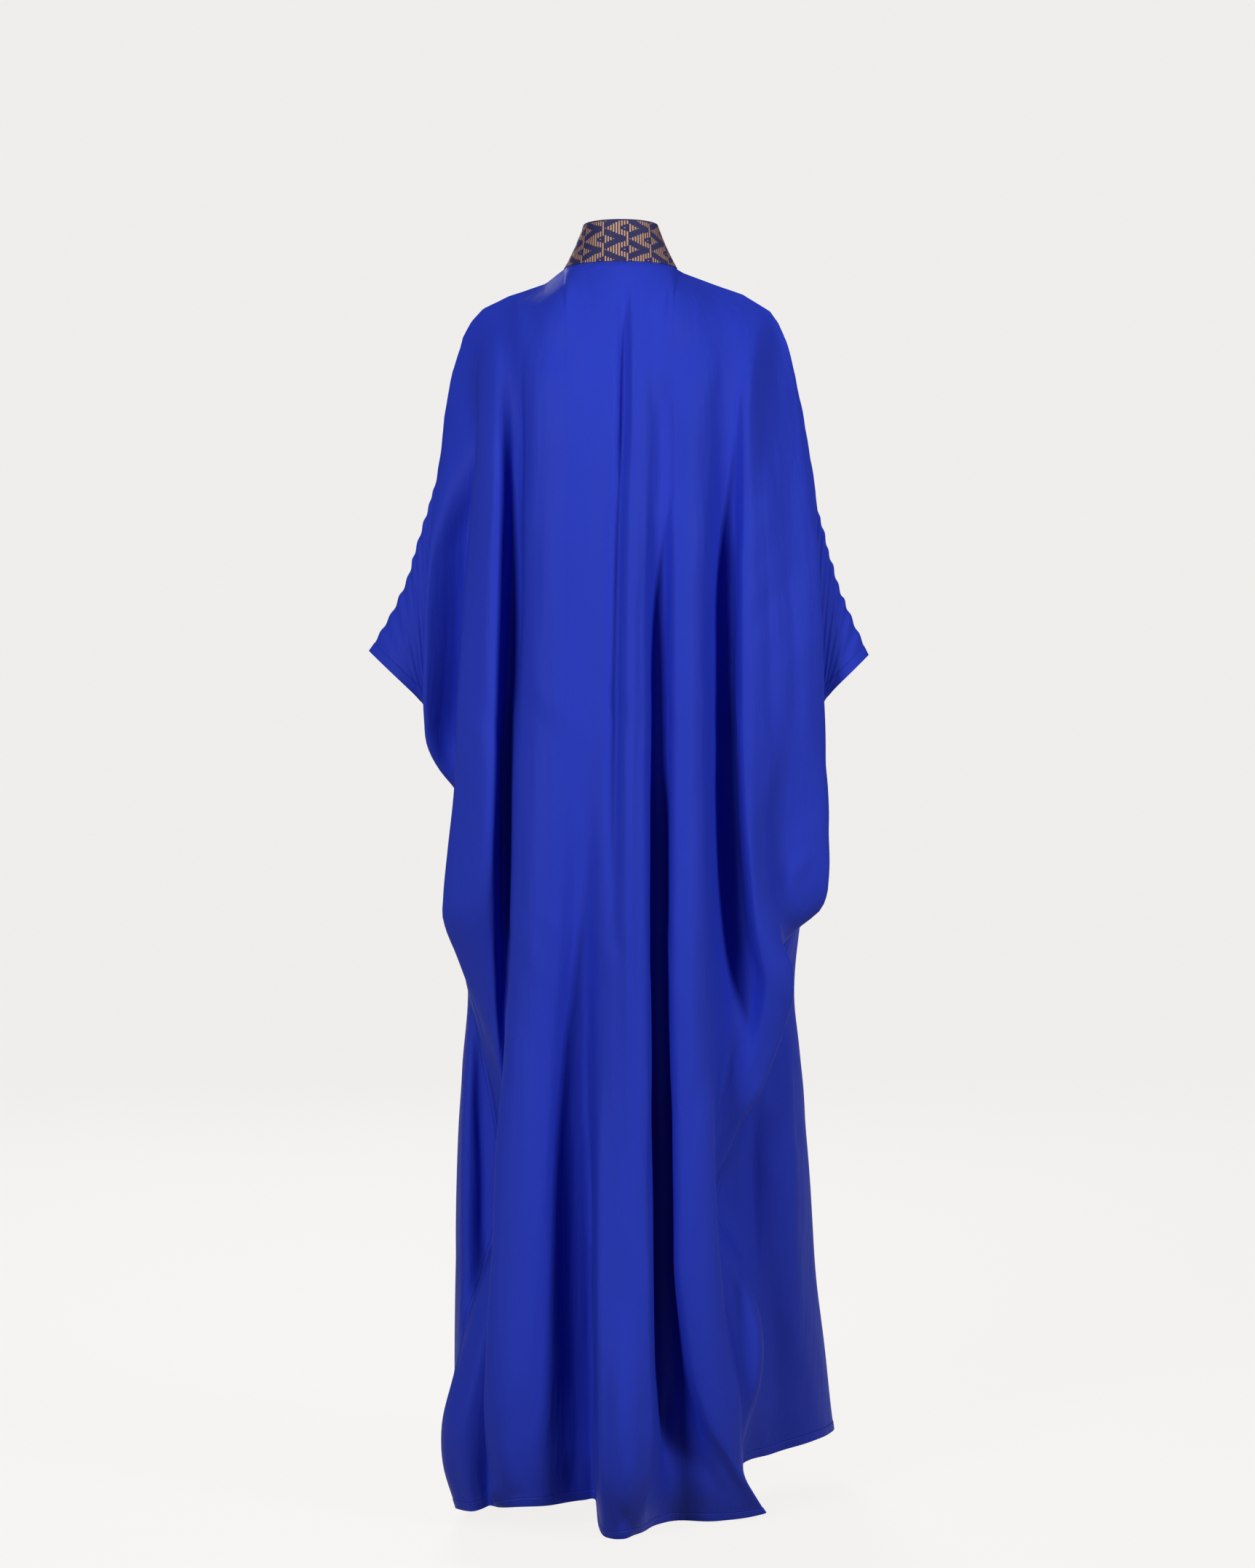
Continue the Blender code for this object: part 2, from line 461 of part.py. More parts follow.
def sleeve_grid(sleeve, back_edge, front_edge):
    """Rings of a sleeve, from the armhole to the cuff: down its back face and up its front face."""
    rows = len(back_edge)
    root = np.concatenate((back_edge, front_edge[-2:0:-1]))
    down = np.linspace(0, 1, rows)
    share_down = np.concatenate((down, down[-2:0:-1]))
    facing = np.concatenate((np.ones(rows), -np.ones(rows - 2)))
    facing[0] = 0
    facing[rows - 1] = 0
    tip, corner = np.array(sleeve.tip), np.array(sleeve.lower_corner)
    cuff = tip + (corner - tip) * share_down[:, None]
    cuff[:, 1] += facing * sleeve.cuff_bulge * np.sin(math.pi * share_down) ** CUFF_FULLNESS
    shoulder = root[0]
    edge = [(shoulder[0], shoulder[2])] + list(sleeve.upper_edge) + [(tip[0], tip[2])]
    edge = np.array(edge, dtype=float)
    lengths = np.concatenate(([0], np.cumsum(np.linalg.norm(np.diff(edge, axis=0), axis=1))))
    lengths /= lengths[-1]
    steps = GATHERS * GATHER_STEPS
    rings = []
    for step in range(steps + 1):
        share = step / steps
        ring = root * (1 - share) + cuff * share
        on_edge = np.array([smooth_run(lengths, edge[:, axis], np.array([share]))[0] for axis in (0, 1)])
        straight = shoulder * (1 - share) + tip * share
        shift = np.array((on_edge[0] - straight[0], 0.0, on_edge[1] - straight[2]))
        near_top = (1 - share_down) ** UPPER_EDGE_POWER
        ring = ring + shift * near_top[:, None]
        wave = math.sin(2 * math.pi * GATHERS * share) * math.sin(math.pi * share) ** GATHER_SWELL
        puff = GATHER_HEIGHT * wave * np.exp(-share_down / GATHER_FADE)
        ring[:, 1] += facing * puff
        near_seam = (1 - share_down) ** GATHER_EDGE_POWER
        ring[:, 2] -= puff * near_seam
        ring[:, 0] += sleeve.side * puff * GATHER_SIDEWAYS * near_seam
        rings.append(ring)
    return np.stack(rings)


def sleeve_wall(sleeve, back_edge, front_edge, edge_normals):
    """The grid and normals of one sleeve, its root ring set just off the edges of the armhole.

    The root shares its edge face with the panels, and the wall turns square to itself over a few rings.
    """
    grid = sleeve_grid(sleeve, back_edge, front_edge)
    ring_along = np.roll(grid, -1, axis=1) - np.roll(grid, 1, axis=1)
    outward = np.gradient(grid, axis=0)
    normals = unit(np.cross(outward, ring_along))
    middle = grid.mean(axis=1, keepdims=True)
    if np.sum((grid - middle) * normals) < 0:
        normals = -normals
    root_normals = unit(normals[0] + edge_normals)
    for ring in range(ROOT_RINGS):
        share = ring / ROOT_RINGS
        normals[ring] = unit(root_normals * (1 - share) + normals[ring] * share)
    offset = np.full((grid.shape[1], 1), SEAM_GAP)
    offset[0] = SHOULDER_END_OFFSET
    offset[UNDERARM_ROW:UNDERARM_ROW + 2] = UNDERARM_OFFSET
    grid[0] += unit(grid[2] - grid[0]) * offset
    return grid, normals, root_normals


def collar_grid():
    """The stand collar: level rings from the neck seam up to its narrower top, open at the front."""
    gap_angle = COLLAR_FRONT_OPENING / 2 / NECK_HALF_WIDTH
    rings = []
    for share in (0.0, 1.0):
        half_width = NECK_HALF_WIDTH + (COLLAR_TOP_HALF_WIDTH - NECK_HALF_WIDTH) * share
        half_depth = NECK_HALF_DEPTH + (COLLAR_TOP_HALF_DEPTH - NECK_HALF_DEPTH) * share
        drop = (NECK_DROP - SEAM_GAP) * (1 - share) + COLLAR_TOP_DROP * share
        ring = []
        for step in range(COLLAR_STEPS + 1):
            angle = -math.pi / 2 + gap_angle + (2 * math.pi - 2 * gap_angle) * step / COLLAR_STEPS
            ring.append((half_width * math.cos(angle), half_depth * math.sin(angle), drop))
        rings.append(ring)
    return np.array(rings)


def main():
    """Build the collar, the two panels and the two sleeves."""
    for old in list(bpy.data.objects):
        bpy.data.objects.remove(old, do_unlink=True)
    crepe = material("blue_crepe", BLUE, CREPE_ROUGHNESS)
    weave = material("collar_weave", COLLAR_NAVY, WEAVE_ROUGHNESS)

    levels = np.linspace(0, 1, ROWS + 1)
    back, front = panels(levels)
    back_normals = sheet_normals(back)
    front_normals = -sheet_normals(front)
    if back_normals[ROWS // 2, back.shape[1] // 2, 1] < 0:
        back_normals, front_normals = -back_normals, -front_normals

    arm = UNDERARM_ROW
    sleeves = []
    for sleeve, column in ((LEFT_SLEEVE, 0), (RIGHT_SLEEVE, -1)):
        edges = np.concatenate((back_normals[:arm + 1, column], front_normals[arm - 1:0:-1, column]))
        grid, normals, root_normals = sleeve_wall(sleeve, back[:arm + 1, column], front[:arm + 1, column],
                                                  edges)
        back_normals[1:arm, column] = root_normals[1:arm]
        front_normals[1:arm, column] = root_normals[:arm:-1]
        shared = unit(back_normals[arm:, column] + front_normals[arm:, column])
        back_normals[arm:, column] = shared
        front_normals[arm:, column] = shared
        sleeves.append((sleeve.name, grid, normals))

    back_normals = top_row_normals(back, back_normals)
    front_normals = top_row_normals(front, front_normals)
    back = pull_in(back)
    front = pull_in(front)
    on_shoulder = np.abs(back[0, :, 0]) >= NECK_HALF_WIDTH
    back[0, on_shoulder, 1] += SEAM_GAP / 2
    on_shoulder = np.abs(front[0, :, 0]) >= NECK_HALF_WIDTH
    front[0, on_shoulder, 1] -= SEAM_GAP / 2

    slit_row = int(NECK_SLIT_DROP / FLOOR_DROP * ROWS)
    before_slit = [fold.name for fold in FRONT_FOLDS].index("left_slit_edge")
    slit_column = ARMHOLE_STEPS + sum(fold.steps for fold in FRONT_FOLDS[:before_slit])

    def in_slit(row, column):
        return column == slit_column and row < slit_row

    wall("back_panel", back, back_normals, CLOTH_THICKNESS, crepe)
    wall("front_panel", front, front_normals, CLOTH_THICKNESS, crepe, left_out=in_slit)
    for name, grid, normals in sleeves:
        wall(name, grid, normals, CLOTH_THICKNESS, crepe, closed=True)
    collar = collar_grid()
    level_out = unit(collar * np.array((1.0, 1.0, 0.0)))
    wall("collar", collar, level_out, COLLAR_THICKNESS, weave)


main()
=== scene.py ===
"""Looks of the grand boubou robe, as it hangs when worn: blue crepe and a patterned stand collar.

The cloth is rebuilt on the fold lines of the CAD panels with a finer grid, small creases, gathers, hems and
stitching. Lengths in the tables are millimetres: side is + towards the wearer's left, depth is + towards the
wearer's back and drop is down from the shoulders. The robe's back faces the camera.
"""

import logging
import math
from dataclasses import dataclass
from enum import Enum
from typing import Any, Optional, Sequence, Union

import bpy
import numpy as np
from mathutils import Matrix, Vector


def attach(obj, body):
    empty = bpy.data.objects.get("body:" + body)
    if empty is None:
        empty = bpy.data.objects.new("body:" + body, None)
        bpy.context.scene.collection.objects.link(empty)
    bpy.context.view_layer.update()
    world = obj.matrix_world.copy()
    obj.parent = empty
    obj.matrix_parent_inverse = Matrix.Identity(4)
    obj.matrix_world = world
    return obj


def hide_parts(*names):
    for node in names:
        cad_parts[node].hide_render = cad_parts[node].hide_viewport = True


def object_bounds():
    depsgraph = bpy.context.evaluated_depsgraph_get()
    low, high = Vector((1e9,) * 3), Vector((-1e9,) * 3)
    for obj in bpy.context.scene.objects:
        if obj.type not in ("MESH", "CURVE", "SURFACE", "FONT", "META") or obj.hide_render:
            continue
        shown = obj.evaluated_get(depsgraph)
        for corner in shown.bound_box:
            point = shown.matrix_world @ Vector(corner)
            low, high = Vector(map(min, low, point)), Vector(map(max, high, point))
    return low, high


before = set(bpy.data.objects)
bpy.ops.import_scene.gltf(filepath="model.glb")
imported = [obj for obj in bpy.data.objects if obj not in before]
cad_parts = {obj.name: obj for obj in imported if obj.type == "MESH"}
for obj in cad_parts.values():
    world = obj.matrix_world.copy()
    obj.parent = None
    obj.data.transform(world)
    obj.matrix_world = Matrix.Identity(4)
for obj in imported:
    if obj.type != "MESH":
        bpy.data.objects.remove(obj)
CAD_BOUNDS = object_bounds()

logging.basicConfig(level=logging.INFO, format="%(message)s")
LOG = logging.getLogger("boubou")

MILLIMETRE = 0.001
MILLIMETRES_IN_METRE = 1000
Table = tuple[tuple[float, ...], ...]


class Slot(Enum):
    """The record's material slots."""

    CREPE = "blue_crepe"
    COLLAR = "collar_weave"


@dataclass(frozen=True)
class Fold:
    """One fold line of a panel, from the shoulder to the hem. Its stations are (drop, side, depth)."""

    name: str
    steps: int
    top_side: float
    stations: Table


@dataclass(frozen=True)
class Crease:
    """A small soft ridge (+ height) or trough (- height) along a path of (side, drop) on one face."""

    height: float
    width: float
    path: Table


@dataclass(frozen=True)
class Gather:
    """A pucker in a sleeve's upper seam.

    Its place along the seam, its width and its reach down the sleeve are shares, its height millimetres.
    """

    at: float
    width: float
    height: float
    reach: float


@dataclass(frozen=True)
class SleeveShape:
    """A sleeve's edges. The upper edge's stations are (side, drop) down its gathered seam."""

    node: str
    side: int
    upper_edge: Table
    tip: tuple[float, float, float]
    lower_corner: tuple[float, float, float]
    cuff_bulge: float


# Sizes of the robe, in millimetres
FLOOR_DROP = 1547.0
CLOTH_THICKNESS = 1.3
HEM_THICKNESS = 2.6
HEM_DEPTH = 12.0
COLLAR_THICKNESS = 2.4
SEAM_GAP = 0.3
NECK_DROP = 4.0
NECK_HALF_WIDTH = 69.0
NECK_HALF_DEPTH = 62.5
COLLAR_TOP_DROP = -50.0
COLLAR_TOP_HALF_WIDTH = 45.0
COLLAR_TOP_HALF_DEPTH = 47.0
COLLAR_FRONT_OPENING = 5.0
SHOULDER_FORWARD_SLOPE = 0.1
NECK_SLIT_HALF_WIDTH = 2.5
NECK_SLIT_DROP = 300.0
ARMHOLE_DEPTH = 72.0
TOP_FAN_POWER = 3
HEM_FAN_POWER = 10
TOP_LINE_POWER = 60
SEAM_STITCH = 5.0
HEM_STITCH = HEM_DEPTH - 1.0
NECK_STITCH = 2.0
HEM_EDGE = 0.5
FAR_FROM_SEAM = 100.0
COLLAR_HOLLOW = 1.5
LEAST_SPAN = 0.5
GATHER_LEAN = 0.10
GATHER_SIDEWAYS = 0.6
GATHER_EDGE_POWER = 4
UPPER_EDGE_POWER = 2
ARMHOLE_FULLNESS = 0.8
CUFF_FULLNESS = 0.7

# Small creases: how far a face must turn towards their side, how softly they start there, and how they end
CREASE_TURN = 0.1
CREASE_TURN_EDGE = 0.5
CREASE_END_FULLNESS = 0.7

# Unevenness: where its waves start on each panel, then each wave's height, pitch, sway and the sway's pitch
# (the crossing wave has a height, a pitch down and a pitch across), and the reach of its fades at top and seams
BACK_PHASE = 0.4
FRONT_PHASE = 2.1
WIDE_WAVE = (0.50, 19, 1.3, 170)
FINE_WAVE = (0.30, 8.3, 1.9, 110)
CROSS_WAVE = (0.25, 37, 61)
UNEVEN_TOP_FADE = 60
UNEVEN_SEAM_FADE = 25

# How finely the cloth is drawn
ROWS = 150
UNDERARM_SHARE = 1 / 3
FINE_COLUMNS = 5
HEM_ROW_DROPS = (3.0, 6.0, 9.0, 11.5, 12.5, 15.0)
ARMHOLE_STEPS = 2
SLEEVE_STEPS = 84
COLLAR_ROWS = 18
COLLAR_STEPS = 180
ROOT_RINGS = 18
SMOOTH_ANGLE = 70

# Heights along the shoulder line: side, drop
LEFT_SHOULDER_LINE = ((69, 4), (92, 22), (138, 37), (170, 52), (184, 67), (195, 87), (208, 130), (218, 184),
                      (224, 238), (228, 263))
RIGHT_SHOULDER_LINE = ((69, 4), (77, 9), (119, 24), (152, 35), (185, 55), (195, 69), (205, 92), (216, 131),
                       (224, 172), (232, 222), (240, 263), (244, 300))

# The back panel, from the left side seam to the right one.
# steps is the number of columns up to the next fold line.
BACK_FOLDS = (
    Fold("left_side_seam", 2, 228,
         ((400, 227, -8), (517, 230, -14), (595, 226, -26), (625, 216, -24), (660, 200, -18),
          (760, 190, -10), (860, 195, -4), (955, 174, -8), (1070, 151, -16), (1130, 144, -14),
          (1210, 158, -6), (1275, 181, 14), (1365, 204, 34), (1430, 219, 33), (1475, 218, 28),
          (1532, 202, 22))),
    Fold("left_wing_edge", 3, 224,
         ((335, 234, 22), (408, 239, 33), (470, 240, 35), (556, 240, 32), (594, 236, 22), (622, 222, 10),
          (645, 203, 2), (760, 187, 3), (860, 192, 10), (955, 170, 16), (1070, 147, 21), (1130, 140, 24),
          (1210, 154, 33), (1275, 175, 42), (1365, 197, 50), (1430, 213, 49), (1475, 212, 44),
          (1530, 196, 38))),
    Fold("left_wing_valley", 2, 205,
         ((200, 178, 26), (325, 185, 15), (450, 191, 10), (573, 197, 11), (642, 196, 24), (760, 199, 21),
          (860, 189, 16), (955, 166, 25), (1070, 142, 32), (1130, 136, 34), (1210, 149, 44),
          (1275, 168, 54), (1365, 188, 63), (1430, 203, 64), (1475, 201, 58), (1529, 188, 50))),
    Fold("left_second_edge", 3, 184,
         ((140, 174, 34), (202, 174, 58), (325, 182, 68), (450, 191, 72), (573, 198, 72), (645, 201, 68),
          (724, 210, 62), (779, 216, 57), (804, 217, 52), (819, 213, 47), (848, 201, 39), (875, 191, 35),
          (955, 162, 37), (1070, 138, 42), (1130, 132, 44), (1210, 144, 54), (1275, 160, 64),
          (1365, 178, 74), (1430, 191, 76), (1475, 188, 71), (1527, 178, 60))),
    Fold("left_second_face", 3, 160,
         ((90, 156, 38), (200, 150, 90), (400, 150, 105), (600, 154, 106), (760, 157, 96), (860, 155, 76),
          (955, 150, 57), (1010, 145, 53), (1070, 137, 50), (1130, 129, 53), (1210, 138, 60),
          (1275, 151, 67), (1365, 165, 73), (1430, 176, 75), (1480, 176, 69), (1525, 170, 58))),
    Fold("left_third_valley", 2, 138,
         ((75, 137, 40), (127, 132, 74), (200, 131, 86), (300, 131, 74), (400, 133, 63), (500, 138, 57),
          (600, 143, 55), (760, 144, 48), (860, 143, 46), (955, 140, 47), (1010, 134, 51), (1070, 129, 57),
          (1130, 127, 63), (1210, 130, 63), (1275, 138, 65), (1365, 149, 66), (1430, 157, 66),
          (1480, 161, 60), (1522, 160, 54))),
    Fold("left_third_groove", 3, 122,
         ((60, 123, 44), (127, 120, 88), (200, 120, 93), (300, 120, 84), (400, 121, 72), (500, 125, 65),
          (570, 131, 62), (621, 134, 60), (760, 135, 53), (860, 134, 51), (967, 134, 56), (1010, 133, 64),
          (1070, 134, 75), (1130, 133, 80), (1210, 136, 80), (1275, 144, 81), (1365, 154, 83),
          (1430, 161, 81), (1480, 160, 73), (1521, 154, 62))),
    Fold("left_third_edge", 3, 106,
         ((55, 108, 50), (127, 111, 99), (300, 112, 117), (480, 115, 121), (643, 123, 120),
          (765, 127, 118), (877, 132, 116), (989, 140, 113), (1063, 147, 111), (1175, 152, 110),
          (1238, 156, 109), (1342, 161, 107), (1403, 163, 102), (1453, 159, 94), (1480, 157, 87),
          (1505, 158, 79), (1520, 148, 71))),
    Fold("left_third_face", 2, 86,
         ((45, 88, 57), (127, 92, 111), (300, 94, 130), (643, 98, 137), (989, 116, 131), (1238, 129, 126),
          (1403, 136, 119), (1480, 134, 103), (1516, 128, 86))),
    Fold("left_back_face", 2, 69,
         ((32, 68, 60), (127, 66, 118), (300, 66, 138), (643, 68, 146), (833, 76, 140), (989, 84, 131),
          (1238, 90, 121), (1403, 92, 110), (1514, 90, 88))),
    Fold("centre_valley_left", 1, 54,
         ((32, 54, 72), (127, 50, 121), (300, 50, 138), (643, 52, 139), (833, 55, 126), (989, 56, 104),
          (1100, 55, 89), (1238, 53, 77), (1403, 51, 68), (1461, 49, 66), (1515, 46, 54))),
    Fold("centre_valley_right", 2, 42,
         ((32, 41, 77), (127, 36, 122), (300, 36, 138), (643, 40, 138), (833, 42, 124), (989, 41, 99),
          (1100, 39, 84), (1238, 37, 72), (1403, 35, 66), (1461, 34, 65), (1515, 32, 50))),
    Fold("strip_left_edge", 2, 24,
         ((32, 22, 84), (127, 17, 123), (300, 16, 140), (643, 20, 144), (833, 24, 143), (989, 26, 143),
          (1155, 27, 146), (1362, 27, 147), (1486, 26, 139), (1515, 21, 129), (1546, 20, 106))),
    Fold("strip_crest", 2, -2,
         ((32, -3, 87), (127, -6, 124), (300, -6, 143), (643, -6, 152), (989, -4, 156), (1238, -3, 158),
          (1486, -4, 154), (1515, -4, 140), (1546, -3, 124))),
    Fold("strip_right_edge", 3, -27,
         ((32, -27, 83), (127, -27, 122), (300, -27, 139), (643, -29, 146), (989, -31, 150),
          (1155, -32, 151), (1320, -34, 150), (1386, -36, 147), (1443, -40, 141), (1477, -38, 135),
          (1514, -29, 122), (1545, -19, 104))),
    Fold("deep_valley_left", 2, -40,
         ((32, -40, 78), (127, -39, 119), (200, -40, 126), (300, -40, 128), (400, -40, 118),
          (480, -40, 109), (570, -40, 104), (621, -40, 100), (673, -40, 89), (724, -40, 87),
          (942, -41, 86), (982, -42, 83), (1036, -42, 70), (1130, -43, 67), (1238, -44, 66),
          (1386, -50, 65), (1444, -58, 66), (1496, -66, 58), (1545, -60, 36))),
    Fold("deep_valley_right", 3, -53,
         ((32, -52, 72), (127, -51, 116), (200, -52, 123), (300, -53, 124), (400, -53, 114),
          (480, -53, 107), (570, -53, 104), (621, -54, 100), (673, -55, 89), (724, -55, 87),
          (942, -56, 86), (982, -57, 83), (1036, -59, 70), (1130, -60, 67), (1238, -62, 66),
          (1300, -67, 65), (1362, -74, 65), (1444, -93, 67), (1496, -107, 57), (1545, -120, 32))),
    Fold("right_strip_left_edge", 2, -69,
         ((32, -66, 61), (127, -64, 111), (300, -65, 128), (616, -64, 134), (840, -64, 136),
          (1000, -66, 133), (1138, -69, 129), (1238, -71, 125), (1300, -79, 118), (1362, -90, 109),
          (1420, -110, 96), (1457, -131, 80), (1480, -144, 66), (1511, -162, 42), (1540, -179, 14))),
    Fold("right_strip_face", 2, -95,
         ((42, -92, 52), (127, -84, 104), (300, -82, 126), (640, -82, 136), (989, -87, 135),
          (1138, -94, 129), (1238, -98, 124), (1362, -116, 107), (1420, -128, 91), (1457, -139, 73),
          (1480, -148, 58), (1511, -161, 32), (1541, -174, 3))),
    Fold("right_strip_right_edge", 3, -122,
         ((52, -114, 44), (127, -106, 94), (300, -100, 114), (490, -98, 122), (640, -98, 124),
          (900, -103, 121), (1080, -112, 114), (1215, -120, 104), (1320, -131, 92), (1385, -144, 78),
          (1420, -147, 70), (1457, -146, 62), (1511, -157, 22), (1542, -167, -5))),
    Fold("right_third_valley", 2, -146,
         ((62, -138, 36), (127, -130, 76), (202, -124, 84), (300, -121, 76), (420, -121, 65),
          (570, -124, 58), (640, -125, 54), (765, -130, 47), (833, -135, 45), (877, -138, 48),
          (940, -135, 56), (1000, -124, 60), (1080, -110, 63), (1140, -105, 65), (1181, -107, 65),
          (1215, -112, 66), (1320, -132, 66), (1400, -146, 61), (1457, -147, 54), (1511, -154, 16),
          (1542, -162, -10))),
    Fold("right_third_foot", 2, -160,
         ((70, -152, 34), (127, -145, 68), (202, -140, 78), (300, -138, 70), (420, -138, 59),
          (640, -140, 48), (765, -148, 40), (833, -155, 40), (877, -160, 44), (940, -154, 52),
          (1000, -138, 56), (1080, -114, 58), (1140, -107, 59), (1181, -110, 60), (1215, -116, 61),
          (1320, -140, 62), (1400, -151, 56), (1457, -149, 47), (1511, -151, 10), (1542, -158, -16))),
    Fold("right_second_face", 3, -178,
         ((85, -168, 34), (127, -160, 62), (300, -151, 90), (500, -148, 103), (640, -150, 105),
          (765, -159, 98), (833, -167, 88), (877, -176, 78), (955, -168, 60), (1020, -150, 52),
          (1080, -119, 50), (1140, -108, 51), (1181, -112, 53), (1215, -121, 54), (1320, -149, 58),
          (1400, -156, 52), (1457, -149, 39), (1511, -148, 4), (1540, -154, -22))),
    Fold("right_second_edge", 2, -196,
         ((200, -178, 50), (400, -182, 78), (600, -180, 88), (709, -174, 84), (767, -180, 78),
          (803, -188, 73), (840, -198, 67), (862, -208, 62), (882, -211, 58), (906, -209, 53),
          (934, -202, 49), (967, -190, 46), (1021, -168, 43), (1059, -144, 41), (1097, -128, 40),
          (1140, -110, 39), (1181, -114, 42), (1215, -130, 45), (1255, -150, 49), (1321, -166, 53),
          (1390, -163, 48), (1430, -154, 38), (1470, -147, 22), (1530, -149, -24))),
    Fold("right_wing_valley", 3, -212,
         ((250, -204, 30), (400, -206, 56), (600, -204, 66), (709, -190, 56), (803, -196, 46),
          (862, -200, 38), (906, -204, 38), (967, -190, 36), (1021, -170, 34), (1059, -147, 32),
          (1097, -131, 31), (1140, -113, 30), (1181, -117, 33), (1215, -136, 36), (1255, -156, 40),
          (1321, -173, 44), (1390, -167, 40), (1430, -156, 29), (1470, -146, 13), (1522, -144, -29))),
    Fold("right_wing_edge", 2, -238,
         ((346, -243, 12), (408, -246, 20), (470, -249, 24), (616, -252, 26), (690, -255, 24),
          (758, -256, 20), (778, -254, 16), (798, -245, 10), (819, -219, 7), (835, -202, 7),
          (880, -196, 16), (906, -203, 24), (967, -188, 25), (1021, -169, 24), (1059, -148, 22),
          (1097, -134, 21), (1140, -116, 21), (1181, -120, 24), (1215, -140, 27), (1255, -159, 30),
          (1321, -175, 33), (1390, -168, 30), (1430, -156, 19), (1470, -144, 4), (1518, -140, -35))),
    Fold("right_side_seam", 0, -244,
         ((400, -238, -8), (532, -238, -14), (606, -238, -26), (650, -239, -22), (690, -240, -18),
          (758, -238, -14), (800, -226, -12), (835, -202, -8), (880, -192, 2), (906, -197, 9),
          (967, -184, 12), (1021, -167, 13), (1059, -149, 12), (1097, -136, 11), (1140, -118, 12),
          (1181, -122, 15), (1215, -141, 18), (1255, -158, 20), (1321, -173, 22), (1390, -167, 19),
          (1430, -155, 9), (1470, -141, -6), (1515, -137, -40))),
)


def slit_edge(name: str, steps: int, side: float) -> Fold:
    """A straight fold line on one edge of the neck slit."""
    depths = ((60, -100), (200, -134), (500, -148), (800, -145), (1130, -146), (1490, -164))
    return Fold(name, steps, side, tuple((drop, side, depth) for drop, depth in depths))


# The front panel, from the left side seam to the right one. Its two end lines are the side seams above.
FRONT_FOLDS = (
    Fold("left_return", 2, 224,
         ((289, 229, -54), (318, 230, -76), (347, 230, -90), (400, 230, -101), (446, 226, -102),
          (481, 221, -96), (517, 217, -84), (556, 214, -72), (600, 210, -50), (700, 202, -42),
          (800, 198, -36), (900, 189, -22), (1000, 187, -10), (1130, 188, -4), (1220, 192, -2),
          (1320, 200, 0), (1420, 207, -2), (1490, 206, -8), (1530, 200, -8))),
    Fold("left_front_crest", 2, 205,
         ((289, 221, -84), (347, 221, -114), (400, 220, -126), (500, 212, -130), (600, 206, -104),
          (700, 203, -92), (800, 203, -84), (890, 191, -64), (1000, 198, -58), (1130, 204, -58),
          (1260, 206, -56), (1365, 206, -58), (1450, 204, -62), (1520, 200, -64))),
    Fold("left_front_side", 2, 182,
         ((200, 188, -98), (347, 198, -134), (500, 202, -144), (620, 194, -128), (800, 182, -124),
          (1130, 176, -126), (1500, 180, -138))),
    Fold("left_front_fold", 2, 152,
         ((200, 152, -118), (500, 154, -152), (800, 144, -158), (1130, 142, -172), (1492, 150, -196))),
    Fold("left_front_valley", 2, 110,
         ((200, 104, -126), (500, 100, -142), (800, 94, -140), (1130, 90, -142), (1490, 94, -158))),
    Fold("left_chest", 2, 69,
         ((200, 62, -136), (500, 54, -160), (800, 48, -164), (1130, 44, -176), (1490, 46, -204))),
    slit_edge("left_slit_edge", 1, NECK_SLIT_HALF_WIDTH),
    slit_edge("right_slit_edge", 2, -NECK_SLIT_HALF_WIDTH),
    Fold("right_chest", 2, -69,
         ((200, -62, -136), (500, -56, -160), (800, -54, -165), (1130, -60, -182), (1490, -66, -222))),
    Fold("right_front_valley", 2, -112,
         ((200, -106, -126), (500, -104, -143), (800, -106, -142), (1130, -116, -156), (1490, -130, -196))),
    Fold("right_front_fold", 2, -160,
         ((200, -154, -116), (500, -160, -150), (800, -164, -152), (1130, -182, -186), (1488, -204, -264))),
    Fold("right_front_crest", 2, -214,
         ((250, -218, -80), (322, -225, -106), (374, -221, -132), (497, -218, -142), (600, -226, -126),
          (700, -234, -114), (819, -224, -88), (900, -219, -88), (1000, -227, -104), (1150, -239, -134),
          (1262, -247, -162), (1400, -264, -222), (1486, -275, -254))),
    Fold("right_front_side", 2, -226,
         ((322, -233, -90), (374, -230, -120), (497, -224, -128), (568, -226, -108), (700, -242, -76),
          (800, -226, -56), (900, -206, -46), (1000, -212, -46), (1150, -222, -64), (1300, -233, -96),
          (1482, -250, -146))),
    Fold("right_front_ridge", 2, -232,
         ((322, -238, -72), (374, -236, -106), (420, -235, -116), (497, -228, -112), (568, -225, -90),
          (620, -230, -70), (700, -241, -54), (800, -220, -38), (900, -196, -26), (1022, -184, -20),
          (1150, -180, -27), (1283, -182, -36), (1400, -184, -64), (1490, -190, -100))),
    Fold("right_return", 2, -240,
         ((322, -240, -56), (348, -240, -77), (374, -240, -91), (420, -240, -101), (465, -236, -102),
          (497, -232, -96), (532, -228, -84), (568, -225, -72), (606, -227, -50), (700, -238, -36),
          (800, -222, -26), (900, -193, -10), (1022, -172, -6), (1097, -150, -8), (1150, -138, -8),
          (1283, -162, -6), (1400, -164, -24), (1496, -152, -66))),
)

LEFT_SLEEVE = SleeveShape("sleeve_left", 1, ((240, 309), (253, 350), (261, 379), (275, 413), (293, 445)),
                          (314, -44, 475), (240, -36, 545), 28.0)
RIGHT_SLEEVE = SleeveShape("sleeve_right", -1, ((-251, 329), (-262, 371), (-273, 405), (-290, 443)),
                           (-309, -42, 480), (-248, -36, 540), 28.0)

